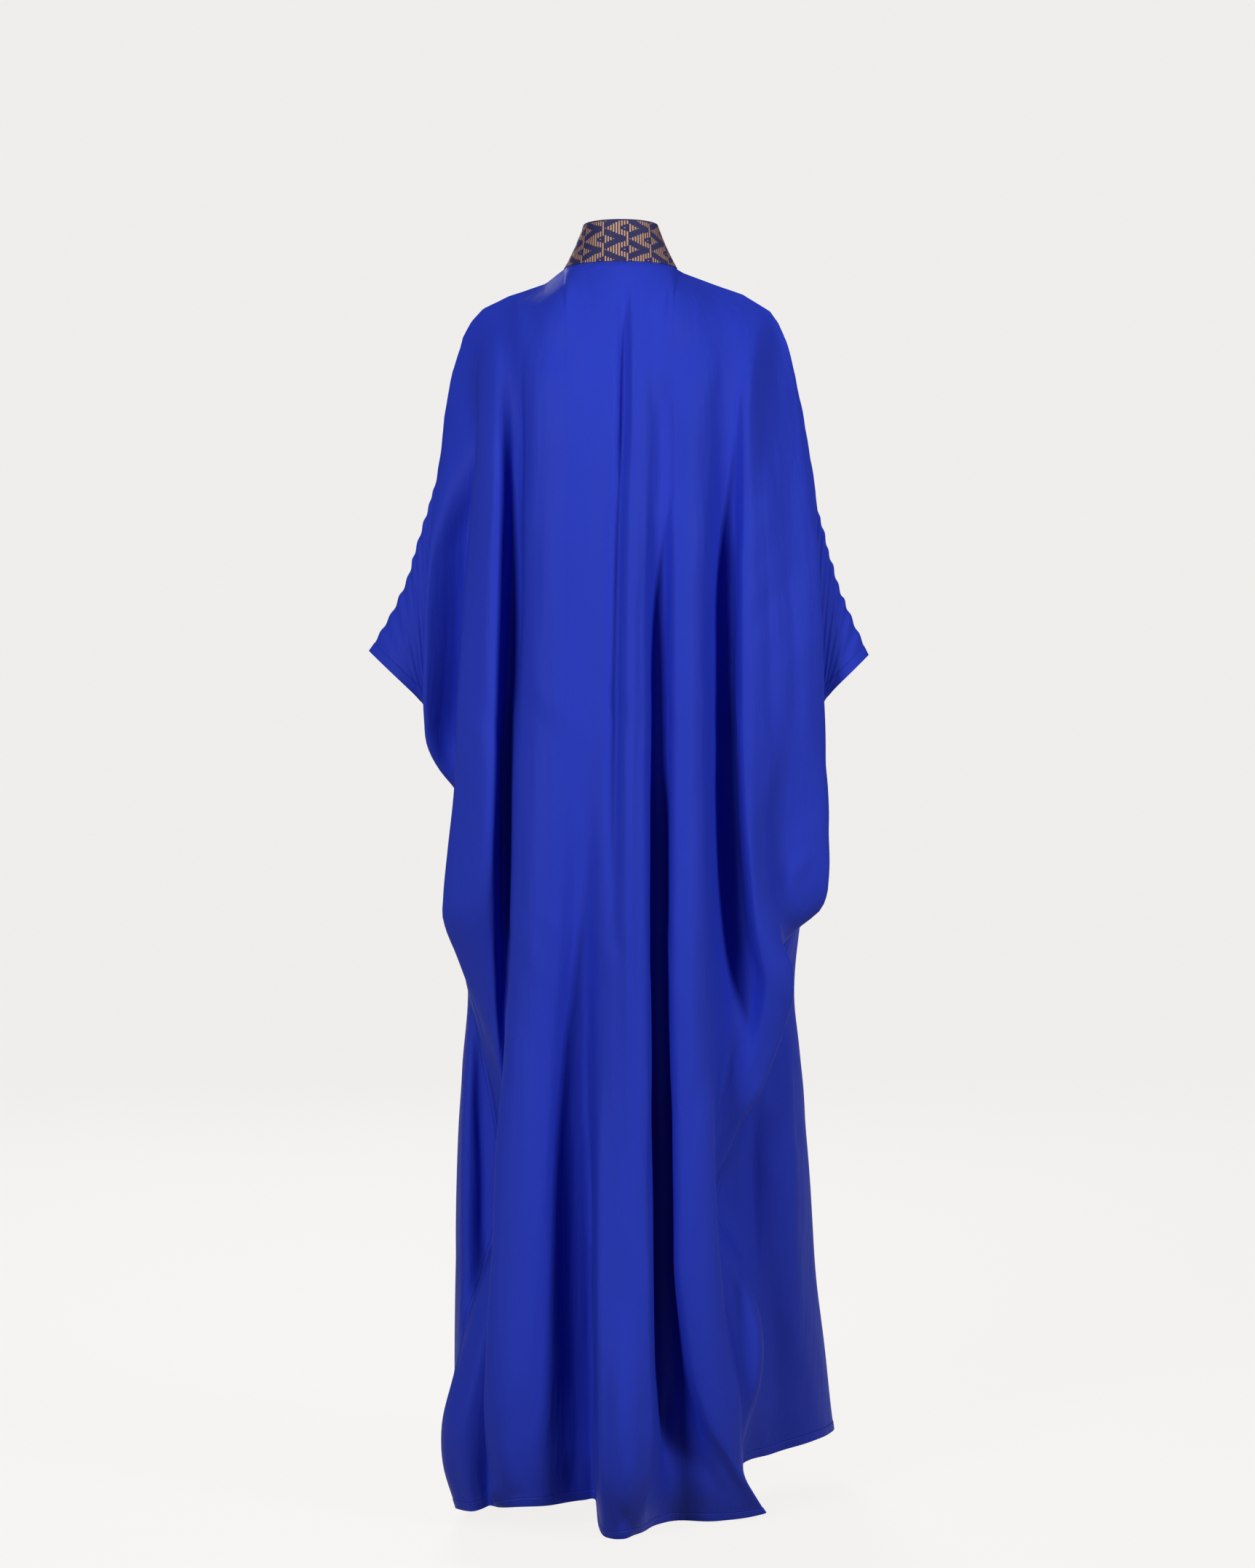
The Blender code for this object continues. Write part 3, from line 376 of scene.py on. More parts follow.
LEFT_GATHERS = (
    Gather(0.07, 0.030, 1.6, 0.20), Gather(0.15, 0.038, 2.6, 0.34), Gather(0.25, 0.042, 3.6, 0.42),
    Gather(0.36, 0.046, 3.2, 0.30), Gather(0.46, 0.036, 3.8, 0.46), Gather(0.56, 0.046, 3.4, 0.36),
    Gather(0.67, 0.042, 4.0, 0.50), Gather(0.78, 0.046, 3.2, 0.34), Gather(0.88, 0.036, 2.6, 0.26),
)
RIGHT_GATHERS = (
    Gather(0.06, 0.030, 1.8, 0.22), Gather(0.17, 0.045, 3.0, 0.30), Gather(0.28, 0.036, 2.4, 0.40),
    Gather(0.39, 0.046, 3.6, 0.36), Gather(0.51, 0.044, 3.0, 0.46), Gather(0.62, 0.036, 3.6, 0.32),
    Gather(0.73, 0.046, 3.0, 0.42), Gather(0.86, 0.044, 2.4, 0.24),
)

# Small creases of the back, besides the folds above
BACK_CREASES = (
    Crease(-9.0, 7.0, ((-5, 40), (-5, 110), (-4, 200), (2, 320), (6, 480), (8, 660), (8, 840))),
    Crease(5.5, 8.0, ((-15, 60), (-15, 180), (-13, 340), (-12, 560), (-10, 820), (-9, 1080))),
    Crease(-7.0, 8.0, ((-4, 30), (-4, 70), (-4, 130), (-3, 200), (0, 280))),
    Crease(3.0, 5.0, ((-15, 30), (-14, 90), (-14, 170), (-13, 250))),
    Crease(-7.0, 16.0, ((-56, 150), (-60, 230), (-56, 320))),
    Crease(2.5, 14.0, ((-30, 170), (-32, 300), (-30, 420))),
    Crease(-2.5, 10.0, ((116, 120), (118, 210), (119, 320))),
    Crease(2.0, 8.0, ((164, 96), (172, 150), (176, 230))),
    Crease(-2.0, 12.0, ((-100, 130), (-102, 230), (-100, 330))),
    Crease(-2.0, 10.0, ((60, 300), (62, 520), (66, 760))),
    Crease(1.6, 12.0, ((96, 420), (100, 640), (108, 900))),
    Crease(-1.8, 9.0, ((-180, 380), (-184, 520), (-186, 650))),
    Crease(1.8, 10.0, ((-222, 330), (-226, 470), (-228, 620))),
    Crease(-3.0, 7.0, ((-206, 745), (-196, 765), (-180, 790))),
    Crease(2.6, 7.0, ((-236, 722), (-218, 742), (-200, 772))),
    Crease(-2.2, 8.0, ((222, 560), (214, 610), (204, 640))),
    Crease(-2.4, 12.0, ((66, 980), (70, 1150), (72, 1330))),
    Crease(1.8, 10.0, ((98, 1060), (104, 1240), (110, 1400))),
    Crease(5.0, 6.0, ((23, 980), (24, 1150), (24, 1330), (23, 1480), (19, 1540))),
    Crease(-7.0, 7.0, ((35, 1040), (35, 1220), (33, 1390), (30, 1500), (24, 1545))),
    Crease(-5.0, 22.0, ((66, 820), (62, 1010), (58, 1210), (56, 1400))),
    Crease(3.0, 6.0, ((-33, 1200), (-37, 1380), (-37, 1480), (-27, 1535))),
    Crease(-10.0, 9.0, ((-50, 1380), (-50, 1450), (-44, 1500), (-34, 1547))),
    Crease(2.4, 9.0, ((-8, 1440), (-12, 1480), (-6, 1515))),
    Crease(-2.6, 6.0, ((4, 1500), (-4, 1516), (0, 1534))),
    Crease(-2.2, 6.0, ((-14, 1510), (-10, 1524), (-14, 1538))),
    Crease(-2.4, 10.0, ((120, 1440), (116, 1480), (124, 1512))),
    Crease(2.2, 10.0, ((92, 1452), (88, 1490), (94, 1512))),
    Crease(-2.0, 8.0, ((62, 1462), (58, 1490), (60, 1512))),
    Crease(2.0, 9.0, ((-96, 1400), (-108, 1450), (-124, 1500))),
    Crease(-2.2, 8.0, ((-120, 1450), (-136, 1490), (-152, 1520))),
)

# Folds of the front panel's sides that show from behind, beside the gathered-up wings
SIDE_CREASES = (
    Crease(-12.0, 11.0, ((180, 900), (172, 1010), (168, 1120), (166, 1220), (176, 1310), (192, 1400))),
    Crease(5.0, 9.0, ((196, 940), (192, 1100), (190, 1240), (200, 1380))),
    Crease(-8.0, 12.0, ((-168, 900), (-166, 1040), (-168, 1170), (-174, 1290), (-180, 1420))),
    Crease(6.0, 14.0, ((-204, 900), (-206, 1060), (-212, 1220), (-224, 1400))),
    Crease(-4.0, 8.0, ((-190, 1240), (-194, 1330), (-204, 1440))),
)

# Small creases of the front, which the photo doesn't show
FRONT_CREASES = (
    Crease(-4.0, 14.0, ((60, 130), (66, 260), (62, 400))),
    Crease(-4.0, 13.0, ((-58, 120), (-66, 240), (-60, 420))),
    Crease(3.0, 12.0, ((110, 160), (120, 330), (116, 520))),
    Crease(2.6, 14.0, ((-116, 150), (-124, 340), (-128, 560))),
    Crease(-3.0, 12.0, ((24, 420), (30, 640), (26, 860))),
    Crease(-2.8, 12.0, ((-26, 460), (-30, 700), (-34, 940))),
    Crease(2.4, 10.0, ((76, 560), (80, 820), (76, 1060))),
    Crease(-2.4, 12.0, ((126, 700), (120, 930), (124, 1180))),
    Crease(2.8, 12.0, ((-82, 640), (-90, 900), (-98, 1160))),
    Crease(-2.6, 10.0, ((-140, 620), (-150, 880), (-160, 1120))),
    Crease(-3.0, 12.0, ((70, 1120), (66, 1300), (74, 1470))),
    Crease(2.2, 9.0, ((150, 1080), (154, 1280), (160, 1440))),
    Crease(2.6, 10.0, ((-30, 1160), (-38, 1320), (-34, 1460))),
    Crease(-2.6, 10.0, ((-178, 1180), (-196, 1330), (-210, 1460))),
)


def smooth_run(stations: Sequence[float], values: Sequence[float], at: np.ndarray) -> np.ndarray:
    """Cubic run through values at stations, with each slope taken from its neighbours."""
    stations = np.asarray(stations, dtype=float)
    values = np.asarray(values, dtype=float)
    slopes = np.gradient(values, stations)
    at = np.clip(at, stations[0], stations[-1])
    index = np.clip(np.searchsorted(stations, at, side="right") - 1, 0, len(stations) - 2)
    span = stations[index + 1] - stations[index]
    share = (at - stations[index]) / span
    ends = values[index] * (1 + 2 * share) * (1 - share) ** 2
    ends = ends + values[index + 1] * share ** 2 * (3 - 2 * share)
    bends = slopes[index] * share * (1 - share) ** 2 + slopes[index + 1] * share ** 2 * (share - 1)
    return ends + bends * span


def unit(vectors: np.ndarray) -> np.ndarray:
    """The vectors at unit length."""
    return vectors / np.maximum(np.linalg.norm(vectors, axis=-1, keepdims=True), 1e-9)


def sheet_normals(grid: np.ndarray) -> np.ndarray:
    """Unit normals of a grid of points, one-sided at its edges."""
    return unit(np.cross(np.gradient(grid, axis=1), np.gradient(grid, axis=0)))


def to_metres(points: np.ndarray) -> np.ndarray:
    """(side, depth, drop) in millimetres as world points in metres."""
    return np.stack((points[..., 0], points[..., 1], -points[..., 2]), axis=-1) * MILLIMETRE


def run_lengths(grid: np.ndarray, axis: int) -> np.ndarray:
    """Distance along the cloth from the first row or column, in millimetres."""
    steps = np.linalg.norm(np.diff(grid, axis=axis), axis=-1)
    pads = [(0, 0), (0, 0)]
    pads[axis] = (1, 0)
    return np.cumsum(np.pad(steps, pads), axis=axis)


def path_lengths(points: np.ndarray) -> np.ndarray:
    """Distance of each point of a path from its first one."""
    return np.concatenate(([0], np.cumsum(np.linalg.norm(np.diff(points, axis=0), axis=1))))


@dataclass
class RobeForm:
    """The fine grids of the robe's cloth, worked out from the fold tables."""

    rows: int = ROWS
    fine_columns: int = FINE_COLUMNS

    def levels(self) -> np.ndarray:
        """Levels from the shoulder (0) to the hem (1), with extra rows at the hem fold."""
        even = np.linspace(0, 1, self.rows + 1)
        length = FLOOR_DROP - NECK_DROP
        extra = [1 - drop / length for drop in HEM_ROW_DROPS]
        kept = [level for level in even if level == 1 or level < min(extra)]
        return np.array(sorted(kept + extra))

    def top_point(self, side: float) -> np.ndarray:
        """The point of the neck ring or of the shoulder line at this side."""
        reach = abs(side)
        if reach <= NECK_HALF_WIDTH:
            depth = NECK_HALF_DEPTH * math.sqrt(max(0.0, 1 - (side / NECK_HALF_WIDTH) ** 2))
            return np.array((side, depth, NECK_DROP))
        line = LEFT_SHOULDER_LINE if side > 0 else RIGHT_SHOULDER_LINE
        drop = np.interp(reach, [point[0] for point in line], [point[1] for point in line])
        return np.array((side, -(reach - NECK_HALF_WIDTH) * SHOULDER_FORWARD_SLOPE, drop))

    def fold_line(self, fold: Fold, levels: np.ndarray, facing: int) -> np.ndarray:
        """Points of one fold line at each level, fanned out from its top and down to its own hem.

        Args:
            fold: the fold line's table row.
            levels: shares of the way down.
            facing: 1 for the back panel, -1 for the front one.

        Returns:
            An array of (side, depth, drop) points.
        """
        top = self.top_point(fold.top_side)
        if abs(fold.top_side) < NECK_HALF_WIDTH:
            top[1] *= facing
        path = np.array([(top[2], top[0], top[1])] + list(fold.stations), dtype=float)
        drops = path[:, 0]
        fan = (drops[0] - NECK_DROP) * (1 - levels) ** TOP_FAN_POWER
        hem = (drops[-1] - FLOOR_DROP) * levels ** HEM_FAN_POWER
        at = np.clip(NECK_DROP + levels * (FLOOR_DROP - NECK_DROP) + fan + hem, drops[0], drops[-1])
        return np.stack((smooth_run(drops, path[:, 1], at), smooth_run(drops, path[:, 2], at), at), axis=-1)

    def across(self, lines: list[np.ndarray], steps: list[int]) -> np.ndarray:
        """Rows of points through the fold lines, by centripetal spline.

        Args:
            lines: the fold lines' points, in order.
            steps: columns in each gap between two lines, before they are made finer.

        Returns:
            A grid of points, rows by columns.
        """
        count = len(lines)
        columns = []
        for gap in range(count - 1):
            start, end = lines[gap], lines[gap + 1]
            before = lines[gap - 1] if gap > 0 else 2 * start - end
            after = lines[gap + 2] if gap + 2 < count else 2 * end - start
            knots = [np.zeros(len(start))]
            for first, second in ((before, start), (start, end), (end, after)):
                length = np.linalg.norm(second - first, axis=-1)
                knots.append(knots[-1] + np.sqrt(np.maximum(length, LEAST_SPAN)))
            total = steps[gap] * self.fine_columns
            for step in range(total):
                at = knots[1] + (knots[2] - knots[1]) * step / total
                columns.append(self.spline_point((before, start, end, after), knots, at))
        columns.append(lines[-1])
        return np.stack(columns, axis=1)

    def spline_point(self, points: tuple, knots: list, at: np.ndarray) -> np.ndarray:
        """One point of a centripetal spline through four points, found by repeated blends."""

        def blend(first: np.ndarray, second: np.ndarray, low: np.ndarray, high: np.ndarray) -> np.ndarray:
            share = ((at - low) / (high - low))[:, None]
            return first * (1 - share) + second * share

        one = blend(points[0], points[1], knots[0], knots[1])
        two = blend(points[1], points[2], knots[1], knots[2])
        three = blend(points[2], points[3], knots[2], knots[3])
        left = blend(one, two, knots[0], knots[2])
        right = blend(two, three, knots[1], knots[3])
        return blend(left, right, knots[1], knots[2])

    def rest_on_top_line(self, grid: np.ndarray, levels: np.ndarray, facing: int) -> np.ndarray:
        """Draw the top row onto the neck ring and shoulder line, and fade the change out just below."""
        low = min(fold.top_side for fold in BACK_FOLDS)
        high = max(fold.top_side for fold in BACK_FOLDS)
        exact = np.array([self.top_point(side) for side in np.clip(grid[0, :, 0], low, high)])
        on_neck = np.abs(grid[0, :, 0]) < NECK_HALF_WIDTH
        exact[on_neck, 1] *= facing
        return grid + (exact - grid[0])[None] * ((1 - levels) ** TOP_LINE_POWER)[:, None, None]

    def armhole_edge(self, seam: np.ndarray, levels: np.ndarray) -> np.ndarray:
        """The front edge of an armhole: the back edge moved forward, and the same line below the underarm."""
        share = np.clip(levels / UNDERARM_SHARE, 0, 1)
        moved = seam.copy()
        moved[:, 1] -= ARMHOLE_DEPTH * np.maximum(np.sin(math.pi * share), 0) ** ARMHOLE_FULLNESS
        return moved

    def panels(self) -> tuple[np.ndarray, np.ndarray]:
        """The grids of the back and front panels, both from the left side seam to the right one."""
        levels = self.levels()
        back = self.across([self.fold_line(fold, levels, 1) for fold in BACK_FOLDS],
                           [fold.steps for fold in BACK_FOLDS[:-1]])
        back = self.rest_on_top_line(back, levels, 1)
        lines = [self.fold_line(fold, levels, -1) for fold in FRONT_FOLDS]
        lines = [self.armhole_edge(back[:, 0], levels)] + lines + [self.armhole_edge(back[:, -1], levels)]
        front = self.across(lines, [ARMHOLE_STEPS] + [fold.steps for fold in FRONT_FOLDS])
        return back, self.rest_on_top_line(front, levels, -1)

    def underarm_row(self) -> int:
        """The row of the underarm."""
        return int(np.argmin(np.abs(self.levels() - UNDERARM_SHARE)))

    def sleeve(self, shape: SleeveShape, gathers: Sequence[Gather], back_edge: np.ndarray,
               front_edge: np.ndarray) -> np.ndarray:
        """Rings of a sleeve, from the armhole to the cuff: down its back face and up its front face.

        Args:
            shape: the sleeve's edges.
            gathers: the puckers of its upper seam.
            back_edge: the back panel's edge, from the shoulder down to the underarm.
            front_edge: the front panel's edge, likewise.

        Returns:
            A grid of points, rings by points round the ring.
        """
        rows = len(back_edge)
        root = np.concatenate((back_edge, front_edge[-2:0:-1]))
        down = np.linspace(0, 1, rows)
        share_down = np.concatenate((down, down[-2:0:-1]))
        facing = np.concatenate((np.ones(rows), -np.ones(rows - 2)))
        facing[[0, rows - 1]] = 0
        tip, corner = np.array(shape.tip), np.array(shape.lower_corner)
        cuff = tip + (corner - tip) * share_down[:, None]
        cuff[:, 1] += facing * shape.cuff_bulge * np.sin(math.pi * share_down) ** CUFF_FULLNESS
        edge = np.array([(root[0, 0], root[0, 2])] + list(shape.upper_edge) + [(tip[0], tip[2])], dtype=float)
        lengths = path_lengths(edge)
        lengths /= lengths[-1]
        rings = []
        for share in np.linspace(0, 1, SLEEVE_STEPS + 1):
            ring = root * (1 - share) + cuff * share
            side = smooth_run(lengths, edge[:, 0], np.array([share]))[0]
            drop = smooth_run(lengths, edge[:, 1], np.array([share]))[0]
            straight = root[0] * (1 - share) + tip * share
            shift = np.array((side - straight[0], 0.0, drop - straight[2]))
            ring = ring + shift * ((1 - share_down) ** UPPER_EDGE_POWER)[:, None]
            puff = np.zeros(len(ring))
            for gather in gathers:
                lean = gather.at + GATHER_LEAN * share_down
                bump = np.exp(-((share - lean) / gather.width) ** 2)
                puff += gather.height * bump * np.exp(-share_down / gather.reach)
            ring[:, 1] += facing * puff
            ring[:, 2] -= puff * (1 - share_down) ** GATHER_EDGE_POWER
            ring[:, 0] += shape.side * puff * GATHER_SIDEWAYS * (1 - share_down) ** GATHER_EDGE_POWER
            rings.append(ring)
        return np.stack(rings)

    def collar(self) -> np.ndarray:
        """Level rings of the stand collar, from the neck seam up to its narrower top, open at the front."""
        gap_angle = COLLAR_FRONT_OPENING / 2 / NECK_HALF_WIDTH
        angles = np.linspace(-math.pi / 2 + gap_angle, 1.5 * math.pi - gap_angle, COLLAR_STEPS + 1)
        rings = []
        for share in np.linspace(0, 1, COLLAR_ROWS + 1):
            half_width = NECK_HALF_WIDTH + (COLLAR_TOP_HALF_WIDTH - NECK_HALF_WIDTH) * share
            half_depth = NECK_HALF_DEPTH + (COLLAR_TOP_HALF_DEPTH - NECK_HALF_DEPTH) * share
            hollow = COLLAR_HOLLOW * math.sin(math.pi * share)
            drop = (NECK_DROP - SEAM_GAP) * (1 - share) + COLLAR_TOP_DROP * share
            ring = np.stack(((half_width - hollow) * np.cos(angles), (half_depth - hollow) * np.sin(angles),
                             np.full(len(angles), drop)), axis=-1)
            rings.append(ring)
        return np.array(rings)


def raise_creases(grid: np.ndarray, normals: np.ndarray, creases: Sequence[Crease],
                  facing: int) -> np.ndarray:
    """Push the cloth out or in along small creases on its outer face.

    Args:
        grid: the cloth's points.
        normals: their outward normals.
        creases: the table of creases.
        facing: 1 for faces that look back, -1 for faces that look forward.

    Returns:
        The changed grid.
    """
    weight = np.clip((normals[..., 1] * facing - CREASE_TURN) / CREASE_TURN_EDGE, 0, 1)
    moved = grid.copy()
    for crease in creases:
        path = np.array(crease.path, dtype=float)
        ends = np.linalg.norm(np.diff(path, axis=0), axis=1)
        total, walked = ends.sum(), 0.0
        nearest = np.full(grid.shape[:2], np.inf)
        along = np.zeros(grid.shape[:2])
        flat = grid[..., [0, 2]]
        for start, end, length in zip(path[:-1], path[1:], ends):
            share = np.clip(np.sum((flat - start) * (end - start), axis=-1) / length ** 2, 0, 1)
            distance = np.linalg.norm(flat - start - share[..., None] * (end - start), axis=-1)
            closer = distance < nearest
            nearest = np.where(closer, distance, nearest)
            along = np.where(closer, (walked + share * length) / total, along)
            walked += length
        fade = np.sin(math.pi * np.clip(along, 0, 1)) ** CREASE_END_FULLNESS
        lift = crease.height * np.exp(-(nearest / crease.width) ** 2) * fade * weight
        moved += normals * lift[..., None]
    return moved


def unevenness(grid: np.ndarray, phase: float) -> np.ndarray:
    """Slight long waves that keep the cloth from looking machined, in millimetres along its normal."""
    across = run_lengths(grid, 1)
    down = grid[..., 2]
    height, pitch, sway, sway_pitch = WIDE_WAVE
    waves = height * np.sin(across / pitch + sway * np.sin(down / sway_pitch + phase) + phase)
    height, pitch, sway, sway_pitch = FINE_WAVE
    waves += height * np.sin(across / pitch + sway * np.sin(down / sway_pitch + 2 * phase))
    height, pitch_down, pitch_across = CROSS_WAVE
    waves += height * np.sin(down / pitch_down + across / pitch_across + phase)
    return waves * np.clip(down / UNEVEN_TOP_FADE, 0, 1)


@dataclass
class Wall:
    """A closed wall of cloth through a grid of points, with its face on both sides and its edges turned."""

    name: str
    grid: np.ndarray
    normals: np.ndarray
    thickness: Union[float, np.ndarray]
    flat: np.ndarray
    closed: bool = False
    open_cells: Optional[np.ndarray] = None
    facts: Optional[dict[str, np.ndarray]] = None

    def cells(self) -> tuple[np.ndarray, np.ndarray]:
        """Row and column of each cell of cloth."""
        rows, columns = self.grid.shape[:2]
        keep = np.ones((rows - 1, columns if self.closed else columns - 1), dtype=bool)
        if self.open_cells is not None:
            keep &= ~self.open_cells
        return np.nonzero(keep)

    def faces(self) -> tuple[np.ndarray, np.ndarray]:
        """The wall's four-sided faces, and for each corner its row and unwrapped column for the flat cut."""
        rows, columns = self.grid.shape[:2]
        row, column = self.cells()
        corners = [(row, column), (row, column + 1), (row + 1, column + 1), (row + 1, column)]
        index = np.stack([r * columns + c % columns for r, c in corners], axis=1)
        spots = np.stack([r * (columns + 1) + c for r, c in corners], axis=1)
        layer = rows * columns
        starts, ends = index.ravel(), np.roll(index, -1, axis=1).ravel()
        spot_starts, spot_ends = spots.ravel(), np.roll(spots, -1, axis=1).ravel()
        border = ~np.isin(starts * layer + ends, ends * layer + starts)
        a, b = starts[border], ends[border]
        sa, sb = spot_starts[border], spot_ends[border]
        rim = np.stack((b, a, a + layer, b + layer), axis=1)
        rim_spots = np.stack((sb, sa, sa, sb), axis=1)
        faces = np.concatenate((index, index[:, ::-1] + layer, rim))
        return faces, np.concatenate((spots, spots[:, ::-1], rim_spots))

    def build(self) -> bpy.types.Object:
        """Make the mesh, its flat-cut UV map and its point attributes."""
        half = self.normals * np.asarray(self.thickness)[..., None] / 2
        points = np.concatenate((to_metres(self.grid + half).reshape(-1, 3),
                                 to_metres(self.grid - half).reshape(-1, 3)))
        faces, spots = self.faces()
        first, second, third, fourth = (points[faces[:, corner]] for corner in range(4))
        volume = np.sum(first * np.cross(second, third)) + np.sum(first * np.cross(third, fourth))
        if volume < 0:
            faces, spots = faces[:, ::-1], spots[:, ::-1]
        mesh = bpy.data.meshes.new(self.name)
        mesh.from_pydata(points.tolist(), [], faces.tolist())
        layer = mesh.uv_layers.new(name="cut")
        table = self.flat.reshape(-1, 2) * MILLIMETRE
        layer.data.foreach_set("uv", table[spots.ravel()].astype(np.float32).ravel())
        for name, values in (self.facts or {}).items():
            attribute = mesh.attributes.new(name, "FLOAT", "POINT")
            both = np.concatenate((values.ravel(), values.ravel())) * MILLIMETRE
            attribute.data.foreach_set("value", both.astype(np.float32))
        inner = mesh.attributes.new("inner", "FLOAT", "POINT")
        count = len(points) // 2
        inner.data.foreach_set("value", np.repeat((0.0, 1.0), count).astype(np.float32))
        return smooth(placed(mesh))


def placed(mesh: bpy.types.Mesh) -> bpy.types.Object:
    """A new piece of the scene with this mesh and its name."""
    made = bpy.data.objects.new(mesh.name, mesh)
    bpy.context.scene.collection.objects.link(made)
    return made


def smooth(made: bpy.types.Object) -> bpy.types.Object:
    """Shade a piece smooth, with its turned edges kept sharp, and return it."""
    bpy.ops.object.select_all(action="DESELECT")
    made.select_set(True)
    bpy.context.view_layer.objects.active = made
    bpy.ops.object.shade_smooth_by_angle(angle=math.radians(SMOOTH_ANGLE))
    bpy.ops.object.select_all(action="DESELECT")
    return made


def flat_cut(grid: np.ndarray, closed: bool = False, middle: bool = False) -> np.ndarray:
    """Where each point lies on the flat cut, in millimetres, with one more column for a closed ring.

    Args:
        grid: the cloth's points.
        closed: whether the last column joins the first.
        middle: whether each row is measured from its middle.

    Returns:
        (across, down) for each row and column.
    """
    rows, columns = grid.shape[:2]
    ring = np.concatenate((grid, grid[:, :1]), axis=1)
    across = run_lengths(ring, 1)
    if not middle and not closed:
        across = np.broadcast_to(across.mean(axis=0), across.shape)
    if middle:
        across = across - across[:, columns // 2][:, None]
    down = run_lengths(ring, 0)
    return np.stack((across, down), axis=-1)


@dataclass(frozen=True)
class StitchStyle:
    """Real sizes of a line of stitches, in millimetres."""

    length: float = 2.6
    gap: float = 1.3
    radius: float = 0.28
    lift: float = 0.1


@dataclass
class Stitching:
    """Lines of short thread stitches laid on the cloth, as one piece."""

    name: str
    style: StitchStyle = StitchStyle()

    def stitch_line(self, path: np.ndarray, normals: np.ndarray) -> tuple[list, list]:
        """Points and faces of the stitches along one line on the cloth."""
        lengths = path_lengths(path)
        points, faces = [], []
        start = self.style.gap
        while start + self.style.length < lengths[-1]:
            at = np.array((start, start + self.style.length / 2, start + self.style.length))
            spots = np.stack([np.interp(at, lengths, path[:, axis]) for axis in range(3)], axis=-1)
            up = unit(np.array([np.interp(at[1], lengths, normals[:, axis]) for axis in range(3)]))
            side = unit(np.cross(up, spots[2] - spots[0]))
            spots = spots + up * self.style.lift
            base = len(points)
            radius = self.style.radius
            points += [spots[0], spots[2], spots[1] + up * radius, spots[1] + side * radius,
                       spots[1] - up * radius, spots[1] - side * radius]
            for first, second in ((2, 3), (3, 4), (4, 5), (5, 2)):
                faces.append((base, base + second, base + first))
                faces.append((base + 1, base + first, base + second))
            start += self.style.length + self.style.gap
        return points, faces

    def build(self, lines: Sequence[tuple[np.ndarray, np.ndarray]]) -> bpy.types.Object:
        """Make one piece of all the lines, each a path of points and its normals in millimetres."""
        points, faces = [], []
        for path, normals in lines:
            more_points, more_faces = self.stitch_line(path, normals)
            base = len(points)
            points += more_points
            faces += [tuple(base + corner for corner in face) for face in more_faces]
        mesh = bpy.data.meshes.new(self.name)
        mesh.from_pydata(to_metres(np.array(points)).tolist(), [], faces)
        return placed(mesh)


def line_above_hem(grid: np.ndarray, normals: np.ndarray, from_hem: np.ndarray,
                   distance: float, thickness: float) -> tuple[np.ndarray, np.ndarray]:
    """The line on the cloth's outer face at a distance above its hem, with its normals."""
    path, ups = [], []
    for column in range(grid.shape[1]):
        run = from_hem[::-1, column]
        spot = [np.interp(distance, run, grid[::-1, column, axis]) for axis in range(3)]
        up = unit(np.array([np.interp(distance, run, normals[::-1, column, axis]) for axis in range(3)]))
        path.append(np.array(spot) + up * thickness / 2)
        ups.append(up)
    return np.array(path), np.array(ups)


class Value:
    """One number in a material's tree. Arithmetic on it adds Math nodes."""

    def __init__(self, tree: "Tree", socket: bpy.types.NodeSocket) -> None:
        self.tree = tree
        self.socket = socket

    def maths(self, operation: str, *parts: Any) -> "Value":
        """The result of one Math node fed with the given parts."""
        node = self.tree.add("ShaderNodeMath", {"operation": operation}, dict(enumerate(parts)))
        return Value(self.tree, node.outputs[0])

    def __add__(self, other: Any) -> "Value":
        return self.maths("ADD", self, other)

    def __radd__(self, other: Any) -> "Value":
        return self.maths("ADD", other, self)

    def __sub__(self, other: Any) -> "Value":
        return self.maths("SUBTRACT", self, other)

    def __rsub__(self, other: Any) -> "Value":
        return self.maths("SUBTRACT", other, self)

    def __mul__(self, other: Any) -> "Value":
        return self.maths("MULTIPLY", self, other)

    def __truediv__(self, other: Any) -> "Value":
        return self.maths("DIVIDE", self, other)

    def __lt__(self, other: Any) -> "Value":
        return self.maths("LESS_THAN", self, other)

    def __abs__(self) -> "Value":
        return self.maths("ABSOLUTE", self)

    def floor(self) -> "Value":
        """The whole number below."""
        return self.maths("FLOOR", self)

    def fraction(self) -> "Value":
        """What is left above the whole number below."""
        return self.maths("FRACT", self)

    def soft_below(self, limit: Any, width: float) -> "Value":
        """1 well below a limit and 0 well above it, with a soft edge of the given width."""
        node = self.tree.add("ShaderNodeClamp", {}, {0: (limit - self) / width + 0.5})
        return Value(self.tree, node.outputs[0])


